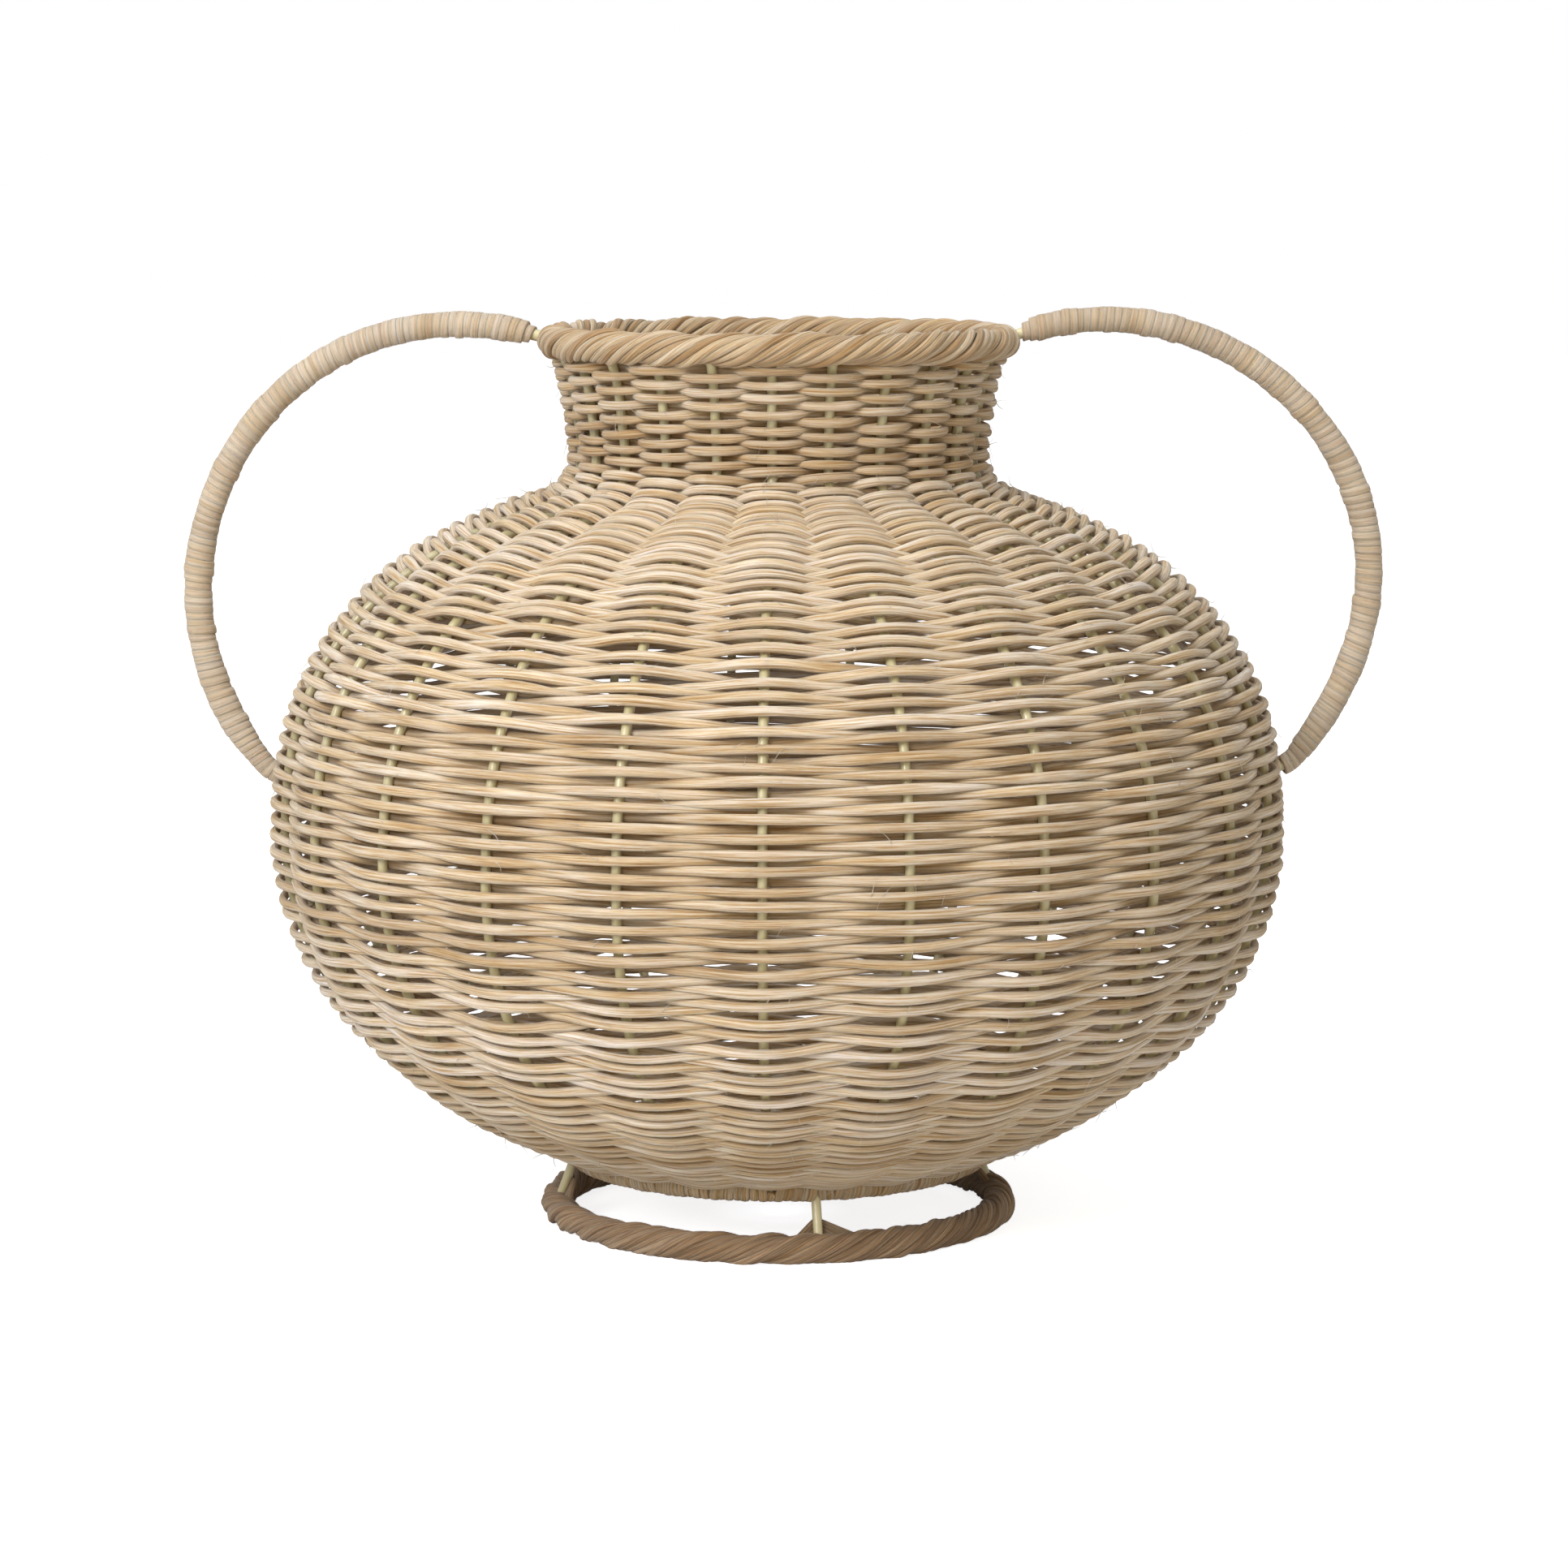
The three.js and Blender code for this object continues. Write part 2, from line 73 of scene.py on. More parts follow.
# Foot
FOOT_RING_R = 0.0662
FOOT_RING_Z = 0.0040
POSTS = 4
FIRST_POST_STAKE = 1
POST_TURNS = 5  # strands that rise behind each post
POST_TURN_RISE = 0.0021  # of the highest one above the rope
POST_TURN_ROOT = 2.2  # from the rope's top down to their ends, in radii of a strand
POST_TURN_ROUND = 0.1  # how round their peaks are
POST_TURN_INNER = 0.4  # width of the lowest one, as a share of the highest
POST_TURN_TUCK = 0.4  # how far their ends stay behind the post, as a share of their peaks
POST_TURN_WIDE = 1.2  # width, as a share of the rope's own strands
POST_TURN_STEPS = 25
POST_TURN_GRAIN_STEP = 3.0  # how much further on the grain begins from one strand to the next
POST_SPREAD = [0.0055, 0.0105]  # reach of those strands to the left and the right

# The line that the stakes follow
STAKES = 23
STAKE_STEP = TURN / STAKES
BASE_RING_R = 0.060
BASE_RING_Z = 0.0208
BELLY_R = 0.1456
BELLY_DROP = 0.1064
BELLY_RISE = 0.1024
BELLY_DROP_POWER = 2.0  # 2 is an ellipse, and more is squarer
BELLY_RISE_POWER = 2.36
SHOULDER_FILLET = 0.016
NECK_R = 0.0563
NECK_TOP_R = 0.061
NECK_H = 0.0383
NECK_BEND = 0.25  # share of the neck that bends into the flare
RIM_FLARE_R = 0.0046
RIM_FLARE_H = 0.0064
CURVE_POINTS = 80

# Rows of the wall's weave, by distance along the stakes' line
WEAVERS = 6
ROW_PITCH = 0.00226
NECK_PITCH = 0.00212
NECK_PITCH_ZONE = (-0.012, 0.004)  # beside the neck's root
NECK_REACH = 0.0020  # how far the weave goes on into the flare under the rim
LOOSE_ROWS = 0.10  # how much wider the rows stand where the weave is loosest
LOOSE_ZONES = [(0.088, 0.026, 1.0), (0.200, 0.034, 0.65)]  # place, spread and share
ROW_DRIFT = 0.00040  # slow wander of the rows
LOOSE_DRIFT = 0.8  # how much more they drift where the weave is loosest
ROW_WANDER = 0.00011  # quick wander of the rows
WANDER_START_ZONE = (0.004, 0.02)  # beside the base ring
WANDER_END_ZONE = (-0.008, 0.0)  # beside the neck's top
ROW_LINE_STEPS = 2000

# Waves of each wander of the weave: turns round the vase and turns from row to row
DRIFT_WAVES = [(1, 0.11), (2, -0.17), (3, 0.23), (5, 0.13), (4, -0.29), (7, 0.19)]
WANDER_WAVES = [(9, 0.41), (11, -0.37), (14, 0.31), (17, -0.43), (8, 0.47)]
SWELL_WAVES = [(6, 0.37), (10, -0.21), (13, 0.45)]
LIFT_WAVES = [(5, 0.33), (9, -0.27), (12, 0.41)]

# Strands of the wall's weave
STRAND_R = 0.00145
NECK_STRAND_R = 0.00132
NECK_SIZE_ZONE = (-0.010, 0.006)  # beside the neck's root
STRAND_SWELL = 0.08  # how far the thickness varies
STRAND_FLAT = 0.87  # thickness through the wall, as a share of the strand's width
CROSSING_THICK = 0.10  # added to that share between stakes
BACK_THIN = 0.06  # taken from that share behind a stake
CALM_THIN = 0.4  # share of the thickness left where a strand has no bends
CROSSING_FILL = 0.54  # half width between stakes, as a share of the room for the row
CROSSING_POWER = 3  # how soon that width is lost towards a stake
ROOM_LIMIT = 2.6  # most room that a row takes up, in radii of a strand
BACK_WIDE = 0.36  # how much wider a strand is pressed behind a stake
LOOSE_NARROW = 2.0  # how many times over that is taken back where the weave is loosest
STRAND_SIDES = 10
PASS_STEPS = 14  # from one stake to the next

# Bends of the wall's strands
WAVE_OUT = 0.0004  # how far the middle of the weave lies outside the stakes
WAVE_SLACK = 0.00018  # room between a strand and a stake
SLACK_CHANGE = 0.5  # how far that room varies
WAVE_PEAK = 1.35  # how closely a bend is drawn in to its stake on the belly
WAVE_DOME = 1.2  # how long a strand stays in front of its stake on the neck
DOME_ZONE = (-0.042, -0.008)  # beside the neck's root, where bends turn from peaked to domed
BASE_CALM = 0.38  # share of the bends' depth left beside the base ring
CALM_ZONE = (0.006, 0.105)  # from the base ring up
LOOSE_SLIP = 0.0010  # how far a strand slips aside behind a stake where the weave is loosest
SLIP_SHARP = 2  # how suddenly it slips from one side to the other
FLARE_ZONE = (-0.010, -0.003)  # beside the neck's top, where strands stop leaning with the stakes
FLARE_SIDE = -0.012  # the place on the neck whose lean they keep

# Tints of strands, added to the tone of their material
STRAND_LENGTH = 2.4  # of one length of rattan, before the next begins
SHORTEST_LENGTH = 0.6  # share of that length; the longest is as much above it
TINT_SPREAD = 0.30  # from one length to another
SWELL_TINT = 0.12
BACK_PAINTED_SHADE = 0.45  # painted shade: how much darker a strand is coloured behind a stake, where it lies in shade
# Painted light and shade by place on the wall, from the base ring at 0 to the neck's root at 1: paler up to
# the shoulder, painted light from above; darker on the neck, painted shade under the rim
WALL_PAINTED_LIGHT = [
    (0.0, 0.0),
    (0.25, 0.05),
    (0.5, 0.1),
    (0.8, 0.2),
    (0.94, 0.55),
    (1.0, -0.2),
    (1.04, -0.55),
]

# Base
SPOKES = 11
HUB_R = 0.010
BASE_WEAVE_R = 0.0158
BASE_FILL = 0.49  # half width of a strand between spokes, as a share of the pitch
BASE_SLACK = 0.0001  # room between a strand and a spoke
BASE_WEAVE_LENGTH = 5.0  # of the strand, as its tints go by it
BASE_TINT_SPREAD = 0.35
BASE_DARK = 0.2

# Winding of the base ring
BASE_WRAP_R = 0.0013  # half the thickness of the winding's strand
BASE_WRAP_TURNS = 7  # turns from one stake to the next
BASE_WRAP_STEPS = 20
BASE_WRAP_SIDES = 10
BASE_WRAP_SQUARE = 0.6  # 1 is a round section, and less is squarer
BASE_WRAP_CROWD = 0.00025  # how far turns wander along the ring
BASE_WRAP_SWELL = 0.10
BASE_WRAP_PUSH = 0.0006  # how far a turn lies from the middle of a wire that it passes
BASE_WRAP_REACH = 0.0080  # how far from the wire turns still give way
BASE_WRAP_FACING = 1.5  # how far round the ring from the wire they give way, in radians
BASE_WRAP_LENGTH = 3.0  # of the strand, as its tints go by it
BASE_WRAP_TINT_LENGTH = 0.5
BASE_WRAP_TINT_SPREAD = 0.25
BASE_WRAP_DARK = 0.6
WRAP_OVERLAP = 0.62  # half width of a winding's turn, as a share of its pitch

# Ropes
ROPE_TURNS = 10
ROPE_STEPS = 720
ROPE_SIDES = 10
ROPE_CROWD = 0.95  # how closely the strands of a group lie
ROPE_LEAN = 0.07  # how far strands wander round the rope, in radians
ROPE_SWELL = 0.06
ROPE_WANDER = 0.00028  # how far strands wander in and out
ROPE_GROOVE = 0.9  # depth of the groove between groups, in radii of a strand
ROPE_WIDE = 1.10  # width of a strand, as a share of its thickness
ROPE_SWELL_TINT = 0.10
ROPE_GRAIN_STEP = 7.0  # how much further on the grain begins from one strand to the next
RIM_ROPE_R = 0.0050
RIM_STRANDS = 10
RIM_GROUPS = 2
RIM_STRAND_R = 0.00108
RIM_DARK = 0.52
FOOT_ROPE_R = 0.0046
FOOT_STRANDS = 12
FOOT_GROUPS = 3
FOOT_STRAND_R = 0.00102

# Handles, each bent by hand: angles in degrees above level, and pulls along them, at the two ends
HANDLES = {
    "right": {
        "stake": 6,
        "joint_height": 0.1334,
        "top_angle": 23.5,
        "top_pull": 0.0719,
        "low_angle": 51.5,
        "low_pull": 0.0972,
        "bare": 0.0072,  # core left bare beside the rim
        "end_share": 0.72,  # thickness of the winding's first turn, as a share of the rest
    },
    "left": {
        "stake": -6,
        "joint_height": 0.1301,
        "top_angle": 17.3,
        "top_pull": 0.0890,
        "low_angle": 48.8,
        "low_pull": 0.0763,
        "bare": 0.0068,
        "end_share": 0.45,
    },
}
HANDLE_BEND = 0.004  # length of each leg of the core's bend into the weave
HANDLE_CLEAR = 0.0003  # room between that bend and the weave
HANDLE_ARCH_STEPS = 160
HANDLE_BEND_STEPS = 10
WEAVE_DEPTH = 0.00465  # from the stakes' line to the face of the weave

# Windings of the handles
HANDLE_WRAP_R = 0.0042
HANDLE_WRAP_PITCH = 0.00225
HANDLE_WRAP_STEPS = 22
HANDLE_WRAP_SIDES = 12
HANDLE_SQUARE = 0.42  # 1 is a round section, and less is squarer
HANDLE_CROWD = 0.00022  # how far turns wander along the handle
HANDLE_CROWD_ZONE = (0.0, 0.05)  # share of the winding over which that begins
HANDLE_SWELL = 0.030
HANDLE_UNEVEN = 0.03  # how far single turns differ in thickness
HANDLE_SLIM = 0.89  # the winding's size near the rim
HANDLE_SLIM_ZONE = (0.05, 0.45)  # share of the winding over which it grows
HANDLE_TOP_ZONE = (-0.001, 0.0048)  # length over which the first turns grow
HANDLE_TAPER = 0.72  # share of the winding's thickness left at its lower end
HANDLE_TAPER_LENGTH = 0.022
HANDLE_TUCK = 0.0050  # how far the winding goes on into the weave
HANDLE_LENGTH = 3.0  # of the strand, as its tints go by it
HANDLE_TINT_LENGTH = 0.9
HANDLE_TURN_TINT = 0.25  # from turn to turn

# Stray fibres
FIBRES = 800
FIBRE_R = 0.00010
FIBRE_SIZES = (0.7, 1.4)
FIBRE_LENGTHS = (0.0015, 0.007)
FIBRE_LIFTS = (0.0005, 0.0025)  # how far a tip stands off
FIBRE_LIFT_POWER = 1.2
FIBRE_LEAN = 0.8  # spread of the angle to the strand, in radians
FIBRE_CURL = 0.9  # spread of the turn from root to tip, in radians
FIBRE_TAPER = 0.6
FIBRE_FRONT = 0.5  # least share of a strand's bend at a fibre's root
FIBRE_ROOT = 0.85  # place of the root, from the strand's middle at 0 to its face at 1
FIBRE_TINTS = (0.2, 1.0)
FIBRE_STEPS = 9
FIBRE_SIDES = 5
FIBRE_GRAIN_STEP = 0.5  # how much further on the grain begins from one fibre to the next

# Maps of the meshes
STRIP_MARGIN = 0.04  # left free on each side of a strip
CAP_ALONG = 0.0004  # size of an end cap in the map along the strand
CAP_STRIP = 0.0005  # size of an end cap in the map of strips

# Noise along a strand: waves to a metre along it, waves round it, octaves and their roughness
SLOW_GRAIN = (9, 1.2, 3, 0.6)
BAND_GRAIN = (30, 3, 2, 0.5)
LINE_GRAIN = (36, 14, 5, 0.64)
FINE_GRAIN = (85, 24, 3, 0.66)
PAINT_GRAIN = (60, 1.5, 4, 0.6)
SPECK_GRAIN = (300, 6, 3, 0.5)

# Rattan: its tones from dark to pale, and what the streaks of its fibres do to them
WHITE = (1.0, 1.0, 1.0)
RATTAN_TONES = [(0.37, 0.255, 0.140), (0.52, 0.410, 0.275), (0.61, 0.510, 0.380), (0.70, 0.610, 0.510)]
RATTAN_STREAK = {
    "line": (0.50, 0.36, 0.21),
    "dark": (0.82, 0.72, 0.56),
    "plain": WHITE,
    "pale": (1.13, 1.18, 1.26),
    "gold": (1.00, 0.95, 0.83),
    "grey": (1.00, 1.03, 1.10),
}
HANDLE_TONES = [(0.37, 0.285, 0.190), (0.44, 0.345, 0.240), (0.49, 0.395, 0.285), (0.55, 0.455, 0.345)]
HANDLE_STREAK = {
    "line": (0.78, 0.71, 0.62),
    "dark": (0.92, 0.89, 0.85),
    "plain": WHITE,
    "pale": (1.08, 1.11, 1.15),
    "gold": (1.00, 0.96, 0.88),
    "grey": (1.00, 1.02, 1.08),
}
FOOT_TONES = [(0.22, 0.146, 0.083), (0.290, 0.196, 0.116), (0.350, 0.242, 0.147), (0.425, 0.306, 0.198)]
FOOT_STREAK = {
    "line": (0.50, 0.42, 0.34),
    "dark": (0.78, 0.72, 0.65),
    "plain": WHITE,
    "pale": (1.30, 1.36, 1.42),
    "gold": (1.00, 0.95, 0.86),
    "grey": (1.00, 1.02, 1.08),
}
TONE_STOPS = (0.0, 0.35, 0.65, 1.0)
HUE_STOPS = [(0.32, "gold"), (0.50, "plain"), (0.68, "grey")]
LINE_STOPS = [(0.30, "line"), (0.43, "dark"), (0.52, "plain"), (0.70, "pale")]
FINE_STOPS = [(0.34, "dark"), (0.50, "plain"), (0.66, "pale")]
SLOW_CHANGE = 0.9  # of a strand's tone along it
RATTAN_ROUGHNESS = 0.60  # where the fibres lie deepest
FOOT_ROUGHNESS = 0.53
ROUGHNESS_CHANGE = 0.25
RATTAN_BUMP = (0.0008, 0.8)  # height and strength
RATTAN_FINISH = {
    "Subsurface Weight": 0.4,
    "Subsurface Radius": (1.0, 0.6, 0.32),
    "Subsurface Scale": 0.002,
    "Specular IOR Level": 0.12,
    "Sheen Weight": 0.2,
    "Sheen Roughness": 0.4,
}

# Painted wire
PAINT_TONES = [(0.3, (0.47, 0.41, 0.21)), (0.55, (0.57, 0.51, 0.29)), (0.8, (0.65, 0.59, 0.36))]
PAINT_ROUGHNESS = 0.22
PAINT_BUMP = (0.0002, 0.2)
PAINT_FINISH = {
    "Coat Weight": 0.25,
    "Coat Roughness": 0.2,
}

# Stage and light
FLOOR_REACH = 6.0
FLOOR_GLOW = 0.82
FLOOR_FINISH = {
    "Base Color": (0.75, 0.75, 0.75, 1),
    "Roughness": 0.9,
    "Specular IOR Level": 0.1,
    "Emission Color": (1, 1, 1, 1),
}
WORLD_LEVEL = 0.40
LAMPS = [
    # name, kind, place, size, watts, colour
    ("key", "AREA", (-0.98, -1.64, 1.12), 0.8, 34.5, (1.0, 1.0, 1.04)),
    ("top", "AREA", (-0.1, -0.6, 1.7), 1.2, 15, (0.95, 1.0, 1.1)),
    ("fill", "AREA", (0.5, -2.1, 0.3), 1.4, 11, (1.0, 0.83, 0.58)),
    ("inside", "POINT", (0, 0, 0.14), 0.06, 0.13, (0.84, 0.86, 1.0)),
]
LAMP_AIM = (0, 0, 0.13)

# Camera, by the photograph's viewing angle
CAMERA_PLACE = (0.0404, -1.3852, 0.3153)
CAMERA_AIM = (0.0017, 0.0, 0.1294)
CAMERA_LENS = 108.4
SENSOR = 36.0

random = np.random.default_rng(SEED)


# Vectors and places round the axis

def unit(vectors):
    return vectors / np.linalg.norm(vectors, axis=-1, keepdims=True)


def dot(a, b):
    return np.sum(a * b, axis=-1, keepdims=True)


def smooth_step(value, low, high):
    share = np.clip((value - low) / (high - low), 0, 1)
    return share * share * (3 - 2 * share)


def zone(distance, landmark, ends):
    """From 0 to 1 over a stretch that is given by its two ends, counted from a landmark."""
    return smooth_step(distance, landmark + ends[0], landmark + ends[1])


def ring_point(azimuth, radius, height):
    azimuth, radius, height = np.broadcast_arrays(azimuth, radius, height)
    return np.stack([radius * np.sin(azimuth), -radius * np.cos(azimuth), height], -1)


def upright(azimuth, out, up):
    """A direction from its share away from the axis and its share upwards."""
    return ring_point(azimuth, out, up)


def wave_noise(phases, waves):
    """A smooth seeded wander between about -1 and 1; a wave gives the turns of each phase."""
    total = 0
    for wave in waves:
        offset = random.uniform(0, TURN)
        total = total + np.sin(sum(turns * phase for turns, phase in zip(wave, phases)) + offset)
    return total / math.sqrt(len(waves))


def wander(phase, *turns):
    """Smooth seeded noise along a single phase."""
    return wave_noise((phase,), [(turn,) for turn in turns])


class UprightLine:
    """A line in an upright plane through the axis: columns are distance from the axis and height."""

    def __init__(self, points):
        steps = np.linalg.norm(np.diff(points, axis=0), axis=1)
        keep = np.concatenate([[True], steps > 1e-9])
        self.points = points[keep]
        steps = np.linalg.norm(np.diff(self.points, axis=0), axis=1)
        self.distances = np.concatenate([[0], np.cumsum(steps)])
        self.length = self.distances[-1]
        self.tangents = unit(np.gradient(self.points, self.distances, axis=0))

    def at(self, distance):
        """Point and direction out of the right side, each as (out, up)."""
        point = [np.interp(distance, self.distances, column) for column in self.points.T]
        along = [np.interp(distance, self.distances, column) for column in self.tangents.T]
        along = unit(np.stack(along, -1))
        side = np.stack([along[..., 1], -along[..., 0]], -1)
        return np.stack(point, -1), side

    def distance_at_height(self, height):
        return np.interp(height, self.points[:, 1], self.distances)


def bezier(controls, count):
    share = np.linspace(0, 1, count)[:, None]
    degree = len(controls) - 1
    total = 0
    for i, control in enumerate(controls):
        weight = math.comb(degree, i) * share**i * (1 - share) ** (degree - i)
        total = total + weight * np.asarray(control)
    return total


# Lines of the frame

def belly_depth(radius, power):
    return (1 - (radius / BELLY_R) ** power) ** (1 / power)


BELLY_Z = BASE_RING_Z + BELLY_DROP * belly_depth(BASE_RING_R, BELLY_DROP_POWER)
SHOULDER_Z = BELLY_Z + BELLY_RISE * belly_depth(NECK_R, BELLY_RISE_POWER)
NECK_TOP_Z = SHOULDER_Z + NECK_H
RIM_RING_R = NECK_TOP_R + RIM_FLARE_R
RIM_RING_Z = NECK_TOP_Z + RIM_FLARE_H


def belly_curve(end_radius, reach, power):
    end = math.acos((end_radius / BELLY_R) ** (power / 2))
    angle = np.linspace(0, end, CURVE_POINTS)
    radius = BELLY_R * np.cos(angle) ** (2 / power)
    return np.stack([radius, BELLY_Z + reach * np.sin(angle) ** (2 / power)], 1)


def stake_line():
    lower = belly_curve(BASE_RING_R, -BELLY_DROP, BELLY_DROP_POWER)[::-1]
    upper = belly_curve(NECK_R + SHOULDER_FILLET, BELLY_RISE, BELLY_RISE_POWER)
    corner = np.array([NECK_R, SHOULDER_Z])
    neck_top = np.array([NECK_TOP_R, NECK_TOP_Z])
    neck_foot = corner + (neck_top - corner) * SHOULDER_FILLET / NECK_H
    fillet = bezier([upper[-1], corner, neck_foot], CURVE_POINTS)
    rim = np.array([RIM_RING_R, RIM_RING_Z])
    bend = (neck_top - neck_foot) * NECK_BEND
    neck = bezier([neck_foot, neck_top - bend, neck_top, rim], CURVE_POINTS)
    return UprightLine(np.concatenate([lower, upper, fillet, neck]))


STAKE_LINE = stake_line()
NECK_TOP_DISTANCE = STAKE_LINE.distance_at_height(NECK_TOP_Z)
NECK_ROOT_DISTANCE = STAKE_LINE.distance_at_height(SHOULDER_Z)
BASE_LINE = UprightLine(np.array([[HUB_R, BASE_RING_Z], [BASE_RING_R, BASE_RING_Z]]))
POST_LINE = UprightLine(np.array([[FOOT_RING_R, FOOT_RING_Z], [BASE_RING_R, BASE_RING_Z]]))
STAKE_ROOT_ANGLE = math.atan2(STAKE_LINE.tangents[0, 1], STAKE_LINE.tangents[0, 0])
POST_ANGLE = math.atan2(FOOT_RING_Z - BASE_RING_Z, FOOT_RING_R - BASE_RING_R)


def groove_azimuth(stake, angle):
    """The place beside a stake's foot where a wire leaves the base ring at an angle above level."""
    return STAKE_STEP * (stake + (angle - STAKE_ROOT_ANGLE) / TURN)


def spoke_azimuths():
    stakes = [math.floor(i * STAKES / SPOKES + 0.5) for i in range(SPOKES)]
    return [groove_azimuth(stake, math.pi) for stake in stakes]


def post_azimuth(post):
    stake = FIRST_POST_STAKE + math.floor(post * STAKES / POSTS + 0.5)
    return groove_azimuth(stake, POST_ANGLE)


# Strands and the pieces made of them

def squared(wave, power):
    return np.sign(wave) * np.abs(wave) ** power


class Strand:
    """A tube along points: rings of points, the distance along it and its tint."""

    def __init__(self, points, out, half_out, half_side, sides,
                 tint=0.0, closed=False, start=0.0, square=1.0):
        count = len(points)
        if closed:
            along = np.roll(points, -1, 0) - np.roll(points, 1, 0)
            spans = np.linalg.norm(np.roll(points, -1, 0) - points, axis=1)
        else:
            along = np.gradient(points, axis=0)
            spans = np.linalg.norm(np.diff(points, axis=0), axis=1)
        along = unit(along)
        out = unit(out - along * dot(out, along))
        side = np.cross(along, out)
        angle = math.pi + TURN * np.arange(sides) / sides
        half_out = np.broadcast_to(half_out, count)[:, None, None]
        half_side = np.broadcast_to(half_side, count)[:, None, None]
        ring = half_out * squared(np.cos(angle), square)[:, None] * out[:, None, :]
        ring = ring + half_side * squared(np.sin(angle), square)[:, None] * side[:, None, :]
        self.rings = points[:, None, :] + ring
        self.closed = closed
        self.distances = start + np.concatenate([[0], np.cumsum(spans)])
        self.tint = np.broadcast_to(tint, count)


def strand_faces(strand, first):
    """Corner numbers of the side faces, by span and side, and of the end caps."""
    count, sides = strand.rings.shape[:2]
    index = first + np.arange(count * sides).reshape(count, sides)
    here = index if strand.closed else index[:-1]
    after = np.roll(index, -1, 0) if strand.closed else index[1:]
    faces = np.stack([here, np.roll(here, -1, 1), np.roll(after, -1, 1), after], -1)
    caps = [] if strand.closed else [index[0][::-1], index[-1]]
    return faces, caps


def side_maps(strand, spans, first_span, spans_in_strip, strips):
    """Places of the side faces' corners along and round the strand, and in strips side by side."""
    sides = strand.rings.shape[1]
    side = np.arange(sides)
    shares = np.stack([side, side + 1, side + 1, side], -1) / sides
    shares = np.broadcast_to(shares, (spans, sides, 4))
    after = np.broadcast_to(np.array([0, 0, 1, 1]), (spans, sides, 4))
    span = np.arange(spans)[:, None, None]
    along = np.stack([strand.distances[span + after], shares], -1)
    place = first_span + span
    strip_x = (place % spans_in_strip + after) / spans_in_strip
    strip_y = (place // spans_in_strip + STRIP_MARGIN + (1 - 2 * STRIP_MARGIN) * shares) / strips
    strip = np.stack([strip_x, strip_y], -1)
    return along.reshape(-1, 2), strip.reshape(-1, 2)


def circle(sides):
    angle = TURN * np.arange(sides) / sides
    return np.stack([np.cos(angle), np.sin(angle)], -1)


def make_piece(name, strands, material, slot, *replaced):
    """One object made of strands, with a map that runs along them and one laid out in strips."""
    span_count = sum(len(strand.distances) - 1 for strand in strands)
    strips = max(1, round(math.sqrt(total_length(strands) / mean_girth(strands))))
    spans_in_strip = math.ceil(span_count / strips)
    points, corners, starts, along_map, strip_map, tints = [], [], [], [], [], []
    first_point = 0
    first_corner = 0
    first_span = 0
    for strand in strands:
        count, sides = strand.rings.shape[:2]
        faces, caps = strand_faces(strand, first_point)
        spans = len(faces)
        along, strip = side_maps(strand, spans, first_span, spans_in_strip, strips)
        corners.append(faces.reshape(-1))
        starts.append(first_corner + 4 * np.arange(spans * sides))
        along_map.append(along)
        strip_map.append(strip)
        first_corner += 4 * spans * sides
        for cap, end in zip(caps, (0, -1)):
            corners.append(cap)
            starts.append(np.array([first_corner]))
            along_map.append(np.array([strand.distances[end], 0.5]) + CAP_ALONG * circle(sides))
            strip_map.append(strip_map[-1][end] + CAP_STRIP * circle(sides))
            first_corner += sides
        points.append(strand.rings.reshape(-1, 3))
        tints.append(np.repeat(strand.tint, sides))
        first_point += count * sides
        first_span += spans
    mesh = bpy.data.meshes.new(name)
    fill_mesh(mesh, np.concatenate(points), np.concatenate(corners), np.concatenate(starts))
    add_map(mesh, "Along", np.concatenate(along_map))
    add_map(mesh, "OFBake", np.concatenate(strip_map))
    tint = mesh.attributes.new("tint", "FLOAT", "POINT")
    tint.data.foreach_set("value", np.concatenate(tints).astype(np.float32))
    mesh.materials.append(material)
    piece = bpy.data.objects.new(name, mesh)
    bpy.context.scene.collection.objects.link(piece)
    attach(piece, BODY)
    if replaced:
        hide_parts(*replaced)


def total_length(strands):
    return sum(strand.distances[-1] - strand.distances[0] for strand in strands)


def mean_girth(strands):
    total = 0
    for strand in strands:
        ring = strand.rings[0]
        total += np.linalg.norm(np.roll(ring, -1, 0) - ring, axis=1).sum()
    return total / len(strands)


def fill_mesh(mesh, points, corners, starts):
    mesh.vertices.add(len(points))
    mesh.vertices.foreach_set("co", points.astype(np.float32).ravel())
    mesh.loops.add(len(corners))
    mesh.loops.foreach_set("vertex_index", corners.astype(np.int32))
    mesh.polygons.add(len(starts))
    mesh.polygons.foreach_set("loop_start", starts.astype(np.int32))
    mesh.polygons.foreach_set("use_smooth", np.ones(len(starts), bool))
    mesh.update(calc_edges=True)


def add_map(mesh, name, places):
    layer = mesh.uv_layers.new(name=name, do_init=False)
    layer.uv.foreach_set("vector", places.astype(np.float32).ravel())


# Materials

def new_material(name):
    material = bpy.data.materials.new(name)
    material.use_nodes = True
    nodes = material.node_tree.nodes
    shader = next(node for node in nodes if node.type == "BSDF_PRINCIPLED")
    return material, material.node_tree, shader


def set_finish(shader, finish):
    for socket, value in finish.items():
        shader.inputs[socket].default_value = value


def add_node(tree, kind, **settings):
    node = tree.nodes.new(kind)
    for key, value in settings.items():
        setattr(node, key, value)
    return node


def maths(tree, operation, first, second):
    node = add_node(tree, "ShaderNodeMath", operation=operation)
    for socket, value in zip(node.inputs, (first, second)):
        if isinstance(value, (int, float)):
            socket.default_value = value
        else:
            tree.links.new(value, socket)
    return node.outputs[0]


def scaled(tree, value, factor, added):
    return maths(tree, "ADD", maths(tree, "MULTIPLY", value, factor), added)


